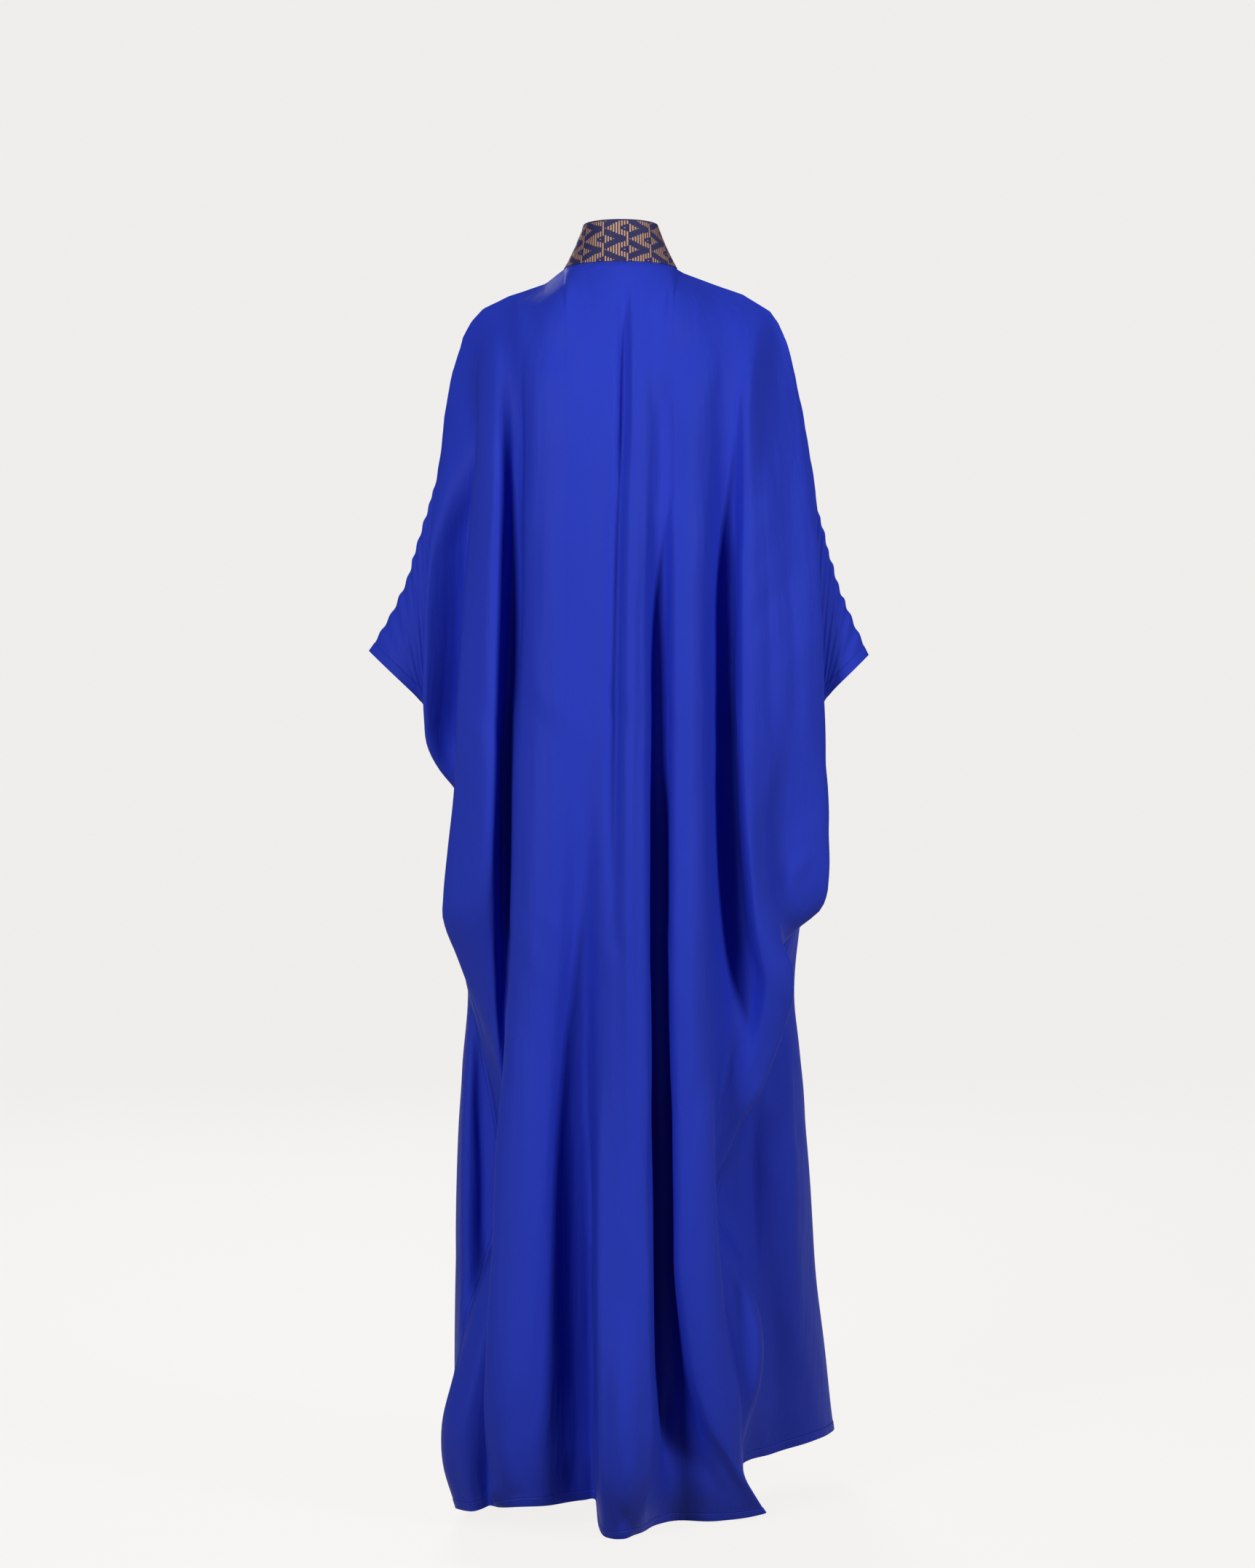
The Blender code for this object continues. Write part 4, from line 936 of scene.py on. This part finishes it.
class Tree:
    """A material's node tree, to which every node is added by one method."""

    def __init__(self, name: str) -> None:
        self.material = bpy.data.materials.new(name)
        self.material.use_nodes = True
        self.nodes = self.material.node_tree.nodes
        self.links = self.material.node_tree.links
        self.nodes.clear()

    def add(self, kind: str, settings: dict[str, Any], inputs: dict[Any, Any]) -> bpy.types.Node:
        """Add a node.

        Args:
            kind: the node's type.
            settings: its own settings, set first.
            inputs: values or links for its sockets, by name or index.

        Returns:
            The node.
        """
        node = self.nodes.new(kind)
        for key, value in settings.items():
            setattr(node, key, value)
        for key, value in inputs.items():
            if isinstance(value, Value):
                self.links.new(value.socket, node.inputs[key])
            elif isinstance(value, bpy.types.NodeSocket):
                self.links.new(value, node.inputs[key])
            else:
                node.inputs[key].default_value = value
        return node

    def object_place(self) -> bpy.types.NodeSocket:
        """Place on the piece, in metres."""
        return self.add("ShaderNodeTexCoord", {}, {}).outputs["Object"]

    def cut_place(self) -> bpy.types.NodeSocket:
        """Place on the flat cut, in metres."""
        return self.add("ShaderNodeUVMap", {"uv_map": "cut"}, {}).outputs["UV"]

    def parts(self, vector: bpy.types.NodeSocket) -> tuple[Value, Value]:
        """The first two numbers of a vector."""
        node = self.add("ShaderNodeSeparateXYZ", {}, {0: vector})
        return Value(self, node.outputs[0]), Value(self, node.outputs[1])

    def distance(self, name: str) -> Value:
        """A distance kept on the mesh's points, in millimetres."""
        return self.fact(name) * MILLIMETRES_IN_METRE

    def fact(self, name: str) -> Value:
        """A number kept on the mesh's points."""
        node = self.add("ShaderNodeAttribute", {"attribute_name": name}, {})
        return Value(self, node.outputs["Fac"])

    def noise(self, place: bpy.types.NodeSocket, scales: tuple[float, float, float], detail: float) -> Value:
        """Smooth noise with a size of its own along each axis, in cycles a metre."""
        stretched = self.add("ShaderNodeVectorMath", {"operation": "MULTIPLY"}, {0: place, 1: scales})
        inputs = {"Vector": stretched.outputs[0], "Scale": 1.0, "Detail": detail}
        node = self.add("ShaderNodeTexNoise", {}, inputs)
        return Value(self, node.outputs[0])

    def mix(self, share: Any, first: Any, second: Any) -> bpy.types.NodeSocket:
        """A mix of two colours."""
        node = self.add("ShaderNodeMix", {"data_type": "RGBA"}, {0: share, 6: first, 7: second})
        return node.outputs[2]

    def bump(self, height: Value, distance: float,
             under: Optional[bpy.types.NodeSocket] = None) -> bpy.types.NodeSocket:
        """A surface raised by height times distance, on top of another bump if one is given."""
        inputs = {"Height": height, "Distance": distance, "Strength": 1.0}
        if under is not None:
            inputs["Normal"] = under
        return self.add("ShaderNodeBump", {}, inputs).outputs[0]

    def finish(self, inputs: dict[str, Any]) -> bpy.types.Material:
        """Feed the surface shader and close the tree."""
        shader = self.add("ShaderNodeBsdfPrincipled", {}, inputs)
        self.add("ShaderNodeOutputMaterial", {}, {0: shader.outputs[0]})
        return self.material


def opaque(colour: tuple[float, float, float]) -> tuple[float, float, float, float]:
    """The colour with full opacity."""
    return (*colour, 1.0)


PAPER_WHITE = (1.0, 0.985, 0.965)


@dataclass(frozen=True)
class CrepeFinish:
    """Royal-blue crepe: matt, with a fine pebbled grain, a soft sheen and sunk seam lines, whose colour is
    darkened with painted shade.
    """

    # lit and deep span the cloth's random tone; deep also gives the painted shade of the sunk stitch lines
    lit: tuple[float, float, float] = (0.027, 0.055, 0.60)
    deep: tuple[float, float, float] = (0.016, 0.036, 0.47)
    sheen: tuple[float, float, float] = (0.25, 0.32, 1.0)
    roughness: float = 0.56

    # Cycles a metre of each noise along each axis, and the bumps' heights in metres
    cloud_scales: tuple[float, float, float] = (7.0, 7.0, 3.0)
    slub_scales: tuple[float, float, float] = (900.0, 60.0, 1.0)
    grain_scales: tuple[float, float, float] = (1500.0, 1100.0, 1.0)
    pucker_scales: tuple[float, float, float] = (70.0, 70.0, 9.0)
    pucker_height: float = 0.0012
    grain_height: float = 0.00022

    def build(self, name: str) -> bpy.types.Material:
        """Make the material."""
        tree = Tree(name)
        place, cut = tree.object_place(), tree.cut_place()
        cloud = tree.noise(place, self.cloud_scales, 3.0)
        slubs = tree.noise(cut, self.slub_scales, 2.0)
        grain = tree.noise(cut, self.grain_scales, 2.0)
        puckers = tree.noise(place, self.pucker_scales, 2.0)
        # The hem and seam stitch lines are sunk by the bump and also painted towards the deep colour: painted
        # shade in their grooves
        low = abs(tree.distance("from_hem") - HEM_DEPTH).soft_below(0.5, 0.6)
        seam = abs(tree.distance("from_seam") - SEAM_STITCH).soft_below(0.45, 0.5)
        groove_and_painted_shade = low.maths("MAXIMUM", low, seam)
        shade = cloud * 0.8 + slubs * 0.25 + grain * 0.3 - 0.2 + groove_and_painted_shade * 0.5
        colour = tree.mix(shade, opaque(self.lit), opaque(self.deep))
        soft = tree.bump(puckers, self.pucker_height)
        fine = tree.bump(grain * 0.6 + slubs * 0.4 - groove_and_painted_shade * 1.5, self.grain_height, soft)
        rough = self.roughness + (grain - 0.5) * 0.1
        return tree.finish({"Base Color": colour, "Roughness": rough, "Normal": fine, "Sheen Weight": 0.02,
                            "Sheen Roughness": 0.45, "Sheen Tint": opaque(self.sheen),
                            "Specular IOR Level": 0.06})


@dataclass(frozen=True)
class CollarFinish:
    """Navy weave with raised bronze and pale-gold floats, in a half-drop repeat of triangles and diamonds. The
    floats' change from pale gold facing the camera to bronze at grazing angles is painted reflection.
    """

    ground: tuple[float, float, float] = (0.020, 0.018, 0.125)
    ground_dark: tuple[float, float, float] = (0.010, 0.011, 0.060)
    # gold is the floats' colour facing the camera, bronze their colour at grazing angles and where worn; the
    # change with angle is painted reflection
    gold: tuple[float, float, float] = (0.80, 0.50, 0.29)
    bronze: tuple[float, float, float] = (0.30, 0.125, 0.070)
    bar_pitch: float = 3.32
    bars: int = 9
    row_pitch: float = 28.7
    first_bar: float = -19.9
    first_row: float = 16.1
    pick_pitch: float = 0.9
    bar_share: float = 0.27
    plain_edge: float = 1.8
    float_end: float = 0.012
    speck_scales: tuple[float, float, float] = (1400.0, 1400.0, 1.0)
    weave_height: float = 0.00025
    float_height: float = 0.00045

    # Bar of the repeat, then where its float starts and ends, in shares of the row pitch from its middle
    chart = (
        (0, -0.1, 0.018), (0, 0.315, 0.6), (1, -0.1, 0.074), (1, 0.378, 0.6), (2, -0.1, 0.124),
        (2, 0.430, 0.6), (3, -0.1, 0.190), (3, 0.485, 0.6), (4, -0.1, 0.250), (5, -0.1, 0.307),
        (6, 0.086, 0.334), (7, -0.1, 0.018), (7, 0.130, 0.380), (8, 0.170, 0.6),
    )

    def build(self, name: str) -> bpy.types.Material:
        """Make the material."""
        tree = Tree(name)
        cut = tree.cut_place()
        across, up = tree.parts(cut)
        bar = (across * MILLIMETRES_IN_METRE - self.first_bar) / self.bar_pitch
        repeat = (bar / self.bars).floor()
        number = bar.floor() - repeat * self.bars
        row = (up * MILLIMETRES_IN_METRE - self.first_row) / self.row_pitch + repeat * 0.5
        middle = abs((row + 0.5).fraction() - 0.5)
        floats = None
        for index, low, high in self.chart:
            here = abs(number - index) < 0.5
            span = middle.soft_below(high, self.float_end) * (1 - middle.soft_below(low, self.float_end))
            part = here * span
            floats = part if floats is None else floats + part
        profile = abs(bar.fraction() - 0.5)
        edge = tree.distance("from_hem")
        shown = (1 - edge.soft_below(self.plain_edge, 0.5)) * (1 - tree.fact("inner"))
        floats = floats * profile.soft_below(self.bar_share, 0.10) * shown
        picks = abs((up * MILLIMETRES_IN_METRE / self.pick_pitch).fraction() - 0.5)
        speck = tree.noise(cut, self.speck_scales, 1.0)
        # Painted reflection: the floats' colour turns from gold where they face the camera to bronze at grazing
        # angles, and the worn mix below carries it on
        turn = tree.add("ShaderNodeLayerWeight", {}, {"Blend": 0.35}).outputs["Facing"]
        metal_with_painted_glint = tree.mix(turn, opaque(self.gold), opaque(self.bronze))
        worn = tree.mix(picks * 0.5 + speck * 0.35, metal_with_painted_glint, opaque(self.bronze))
        ground = tree.mix(speck * 1.6 - 0.3, opaque(self.ground), opaque(self.ground_dark))
        colour = tree.mix(floats, ground, worn)
        weave = tree.bump(speck * 0.5 + picks * 0.4, self.weave_height)
        raised = tree.bump(floats * (1.0 - profile), self.float_height, weave)
        return tree.finish({"Base Color": colour, "Roughness": 0.62 - floats * 0.2, "Normal": raised,
                            "Metallic": floats * 0.15, "Sheen Weight": 0.08, "Specular IOR Level": 0.35})


@dataclass(frozen=True)
class ThreadFinish:
    """Twisted sewing thread."""

    colour: tuple[float, float, float] = (0.034, 0.055, 0.60)

    def build(self, name: str) -> bpy.types.Material:
        """Make the material."""
        tree = Tree(name)
        twist = tree.noise(tree.object_place(), (900.0, 900.0, 900.0), 1.0)
        darker = tuple(part * 0.6 for part in self.colour)
        colour = tree.mix(twist, opaque(self.colour), opaque(darker))
        return tree.finish({"Base Color": colour, "Roughness": 0.45, "Normal": tree.bump(twist, 0.0001)})


@dataclass(frozen=True)
class FloorFinish:
    """Plain pale studio paper, evenly lit through."""

    colour: tuple[float, float, float] = (0.06, 0.0595, 0.0585)
    glow: float = 0.86

    def build(self, name: str) -> bpy.types.Material:
        """Make the material."""
        tree = Tree(name)
        cloud = tree.noise(tree.object_place(), (1.5, 1.5, 1.5), 2.0)
        darker = tuple(part * 0.97 for part in self.colour)
        colour = tree.mix(cloud, opaque(self.colour), opaque(darker))
        return tree.finish({"Base Color": colour, "Roughness": 0.8, "Specular IOR Level": 0.2,
                            "Emission Color": opaque(PAPER_WHITE), "Emission Strength": self.glow})


@dataclass
class Robe:
    """The whole robe: two panels, two sleeves, the collar and their stitching."""

    form: RobeForm
    crepe: bpy.types.Material
    weave: bpy.types.Material
    thread: bpy.types.Material

    def dress(self, made: bpy.types.Object, finish: bpy.types.Material, slot: Optional[Slot],
              *nodes: str) -> None:
        """Give a piece its finish and tie it to the frame."""
        made.data.materials.append(finish)
        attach(made, "root")
        if nodes:
            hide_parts(*nodes)
        count = sum(len(face.vertices) - 2 for face in made.data.polygons)
        LOG.info("%s: %d triangles", made.name, count)

    def cloth_facts(self, grid: np.ndarray, hem_axis: int = 0, seams: bool = True) -> dict[str, np.ndarray]:
        """Distances over the cloth from its hem and its side seams, in millimetres."""
        down = run_lengths(grid, hem_axis)
        from_hem = down[-1] - down
        across = run_lengths(grid, 1)
        from_seam = np.minimum(across, across[:, -1:] - across)
        if not seams:
            from_seam = np.full(grid.shape[:2], FAR_FROM_SEAM)
        return {"from_hem": from_hem, "from_seam": from_seam}

    def hem_thickness(self, from_hem: np.ndarray) -> np.ndarray:
        """Cloth thickness, doubled over the hem fold."""
        step = np.clip(HEM_DEPTH + HEM_EDGE - from_hem, 0, 1)
        return CLOTH_THICKNESS + (HEM_THICKNESS - CLOTH_THICKNESS) * step

    def top_row_normals(self, grid: np.ndarray, normals: np.ndarray) -> None:
        """Turn the top edges level round the neck, and square to the shoulder line beside it."""
        top = grid[0]
        along = np.gradient(top, axis=0)
        on_neck = np.abs(top[:, 0]) < NECK_HALF_WIDTH + 1.0
        flat = np.stack((top[:, 0], top[:, 1], np.zeros(len(top))), axis=-1)
        roof = np.stack((-along[:, 2], np.zeros(len(top)), along[:, 0]), axis=-1)
        roof *= np.sign(-roof[:, 2])[:, None]
        chosen = np.where(on_neck[:, None], unit(flat), unit(roof))
        sign = np.sign(np.sum(chosen * normals[1], axis=-1))[:, None]
        normals[0] = chosen * np.where(sign == 0, 1, sign)

    def build(self) -> list[bpy.types.Object]:
        """Build and dress every piece of the robe."""
        back, front = self.form.panels()
        back_normals, front_normals = sheet_normals(back), -sheet_normals(front)
        if back_normals[len(back) // 2, back.shape[1] // 2, 1] < 0:
            back_normals, front_normals = -back_normals, -front_normals
        back = raise_creases(back, back_normals, BACK_CREASES, 1)
        front = raise_creases(front, front_normals, FRONT_CREASES, -1)
        front = raise_creases(front, front_normals, SIDE_CREASES, 1)
        back = self.roughen(back, back_normals, BACK_PHASE)
        front = self.roughen(front, front_normals, FRONT_PHASE)
        arm = self.form.underarm_row()
        lines = []
        sleeves = []
        for shape, gathers, column in ((LEFT_SLEEVE, LEFT_GATHERS, 0), (RIGHT_SLEEVE, RIGHT_GATHERS, -1)):
            edges = np.concatenate((back_normals[:arm + 1, column], front_normals[arm - 1:0:-1, column]))
            grid = self.form.sleeve(shape, gathers, back[:arm + 1, column], front[:arm + 1, column])
            normals = self.sleeve_normals(grid)
            root = unit(normals[0] + edges)
            for ring in range(ROOT_RINGS):
                share = ring / ROOT_RINGS
                normals[ring] = unit(root * (1 - share) + normals[ring] * share)
            back_normals[1:arm, column] = root[1:arm]
            front_normals[1:arm, column] = root[:arm:-1]
            shared = unit(back_normals[arm:, column] + front_normals[arm:, column])
            back_normals[arm:, column] = shared
            front_normals[arm:, column] = shared
            grid[0] += unit(grid[2] - grid[0]) * SEAM_GAP
            sleeves.append(self.sleeve_piece(shape, grid, normals, lines))
        self.top_row_normals(back, back_normals)
        self.top_row_normals(front, front_normals)
        pieces = [self.panel_piece("back_panel", back, back_normals, lines),
                  self.panel_piece("front_panel", front, front_normals, lines)]
        collar = self.collar_piece()
        stitches = Stitching("stitching").build(lines)
        self.dress(stitches, self.thread, None)
        return pieces + sleeves + [collar, stitches]

    def roughen(self, grid: np.ndarray, normals: np.ndarray, phase: float) -> np.ndarray:
        """Add slight unevenness, fading out at the side edges."""
        across = run_lengths(grid, 1)
        edge = np.clip(np.minimum(across, across[:, -1:] - across) / UNEVEN_SEAM_FADE, 0, 1)
        return grid + normals * (unevenness(grid, phase) * edge)[..., None]

    def sleeve_normals(self, grid: np.ndarray) -> np.ndarray:
        """Outward normals of a sleeve's rings."""
        ring_along = np.roll(grid, -1, axis=1) - np.roll(grid, 1, axis=1)
        normals = unit(np.cross(np.gradient(grid, axis=0), ring_along))
        outward = grid - grid.mean(axis=1, keepdims=True)
        return normals if np.sum(outward * normals) > 0 else -normals

    def panel_piece(self, node: str, grid: np.ndarray, normals: np.ndarray, lines: list) -> bpy.types.Object:
        """One body panel, with its hem, neck slit and seam lines."""
        facts = self.cloth_facts(grid)
        thickness = self.hem_thickness(facts["from_hem"])
        open_cells = None
        if node == "front_panel":
            before = FRONT_FOLDS[:[fold.name for fold in FRONT_FOLDS].index("left_slit_edge")]
            first = self.form.fine_columns * (ARMHOLE_STEPS + sum(fold.steps for fold in before))
            open_cells = np.zeros((grid.shape[0] - 1, grid.shape[1] - 1), dtype=bool)
            last_row = int(np.searchsorted(grid[:, first, 2], NECK_SLIT_DROP))
            open_cells[:last_row, first:first + self.form.fine_columns] = True
            for column in (first - 2, first + self.form.fine_columns + 2):
                path = grid[1:last_row, column] + normals[1:last_row, column] * CLOTH_THICKNESS / 2
                lines.append((path, normals[1:last_row, column]))
        made = Wall(node + "_cloth", grid, normals, thickness, flat_cut(grid), open_cells=open_cells,
                    facts=facts).build()
        self.dress(made, self.crepe, Slot.CREPE, node)
        lines.append(line_above_hem(grid, normals, facts["from_hem"], HEM_STITCH, HEM_THICKNESS))
        lines.append(self.below_top(grid, normals))
        return made

    def below_top(self, grid: np.ndarray, normals: np.ndarray) -> tuple[np.ndarray, np.ndarray]:
        """A stitch line just below the neck seam."""
        on_neck = np.abs(grid[0, :, 0]) < NECK_HALF_WIDTH - 1.0
        chosen = grid[:, on_neck]
        ups = normals[:, on_neck]
        run = run_lengths(chosen, 0)
        path, sides = [], []
        for column in range(chosen.shape[1]):
            spot = [np.interp(NECK_STITCH, run[:, column], chosen[:, column, axis]) for axis in range(3)]
            path.append(np.array(spot) + ups[1, column] * CLOTH_THICKNESS / 2)
            sides.append(ups[1, column])
        return np.array(path), np.array(sides)

    def sleeve_piece(self, shape: SleeveShape, grid: np.ndarray, normals: np.ndarray,
                     lines: list) -> bpy.types.Object:
        """One sleeve, with its cuff hem."""
        facts = self.cloth_facts(grid, seams=False)
        thickness = self.hem_thickness(facts["from_hem"])
        made = Wall(shape.node + "_cloth", grid, normals, thickness, flat_cut(grid, closed=True), closed=True,
                    facts=facts).build()
        self.dress(made, self.crepe, Slot.CREPE, shape.node)
        lines.append(line_above_hem(grid, normals, facts["from_hem"], HEM_STITCH, HEM_THICKNESS))
        return made

    def collar_piece(self) -> bpy.types.Object:
        """The stand collar of patterned weave."""
        grid = self.form.collar()
        normals = unit(grid * np.array((1.0, 1.0, 0.0)))
        facts = self.cloth_facts(grid, seams=False)
        made = Wall("collar_cloth", grid, normals, COLLAR_THICKNESS, flat_cut(grid, middle=True),
                    facts=facts).build()
        self.dress(made, self.weave, Slot.COLLAR, "collar")
        return made


@dataclass(frozen=True)
class SoftLight:
    """A large soft light: its place, aim, width and height in metres, and its power in watts."""

    name: str
    place: tuple[float, float, float]
    aim: tuple[float, float, float]
    size: tuple[float, float]
    power: float
    colour: tuple[float, float, float] = (1.0, 0.985, 0.96)

    def build(self) -> None:
        """Add the light to the scene."""
        bpy.ops.object.light_add(type="AREA", location=self.place)
        lamp = bpy.context.active_object
        lamp.name = self.name
        lamp.data.shape = "RECTANGLE"
        lamp.data.size, lamp.data.size_y = self.size
        lamp.data.energy = self.power
        lamp.data.color = self.colour
        lamp.visible_camera = False
        away = np.array(self.aim) - np.array(self.place)
        tilt = math.atan2(math.hypot(away[0], away[1]), -away[2])
        turn = math.atan2(away[1], away[0]) - math.pi / 2
        lamp.rotation_euler = (tilt, 0.0, turn)


@dataclass
class Studio:
    """Pale floor, soft lights, dim surroundings, and the camera of the photo."""

    floor: bpy.types.Material
    camera_place: tuple[float, float, float] = (-0.00855, 4.0, -0.641)
    lens: float = 92.74
    sensor: float = 36.0
    floor_reach: float = 60.0
    ambient: float = 0.03
    backdrop: float = 0.865
    lights: tuple[SoftLight, ...] = (
        SoftLight("left_softbox", (1.9, 3.2, 0.7), (0.0, 0.0, -0.6), (0.9, 1.5), 97.0),
        SoftLight("right_softbox", (-2.8, 2.2, 0.6), (0.0, 0.0, -0.6), (0.8, 1.4), 76.0),
        SoftLight("overhead_light", (0.0, 0.4, 3.4), (0.0, 0.3, -1.5), (2.0, 2.0), 20.0),
        SoftLight("front_softbox", (0.8, -4.5, 1.4), (0.0, 0.0, -0.7), (1.4, 1.4), 70.0),
    )

    def build(self, lowest: float) -> None:
        """Add the floor, lights, world and camera."""
        self.add_floor(lowest)
        for light in self.lights:
            light.build()
        self.add_world()
        bpy.context.scene.view_settings.view_transform = "Standard"
        self.add_camera()

    def add_world(self) -> None:
        """Dim surroundings, which the camera sees as the same pale paper as the floor."""
        world = bpy.data.worlds.new("studio")
        world.use_nodes = True
        nodes, links = world.node_tree.nodes, world.node_tree.links
        dim = nodes["Background"]
        dim.inputs["Color"].default_value = opaque(PAPER_WHITE)
        dim.inputs["Strength"].default_value = self.ambient
        seen = nodes.new("ShaderNodeBackground")
        seen.inputs["Color"].default_value = opaque(PAPER_WHITE)
        seen.inputs["Strength"].default_value = self.backdrop
        chosen = nodes.new("ShaderNodeMixShader")
        links.new(nodes.new("ShaderNodeLightPath").outputs["Is Camera Ray"], chosen.inputs["Fac"])
        links.new(dim.outputs["Background"], chosen.inputs[1])
        links.new(seen.outputs["Background"], chosen.inputs[2])
        links.new(chosen.outputs["Shader"], nodes["World Output"].inputs["Surface"])
        bpy.context.scene.world = world

    def add_floor(self, lowest: float) -> None:
        """A wide level floor, just under the robe's lowest point."""
        bpy.ops.mesh.primitive_plane_add(size=2 * self.floor_reach, location=(0.0, 0.0, 0.0))
        paper = bpy.context.active_object
        paper.name = "studio_floor"
        for vertex in paper.data.vertices:
            vertex.co.z = lowest
        paper.data.materials.append(self.floor)
        paper.visible_diffuse = False

    def add_camera(self) -> None:
        """The camera that took the photo: level, facing the robe's back."""
        bpy.ops.object.camera_add(location=self.camera_place, rotation=(math.pi / 2, 0.0, math.pi))
        camera = bpy.context.active_object
        camera.data.sensor_fit = "HORIZONTAL"
        camera.data.sensor_width = self.sensor
        camera.data.lens = self.lens
        bpy.context.scene.camera = camera


def main() -> None:
    """Build the robe's looks and the studio around it."""
    bpy.ops.object.select_all(action="DESELECT")
    crepe = CrepeFinish().build("blue_crepe_cloth")
    weave = CollarFinish().build("collar_weave_cloth")
    pieces = Robe(RobeForm(), crepe, weave, ThreadFinish().build("blue_thread")).build()
    Studio(FloorFinish().build("studio_paper")).build(CAD_BOUNDS[0][2])


if __name__ == "__main__":
    main()
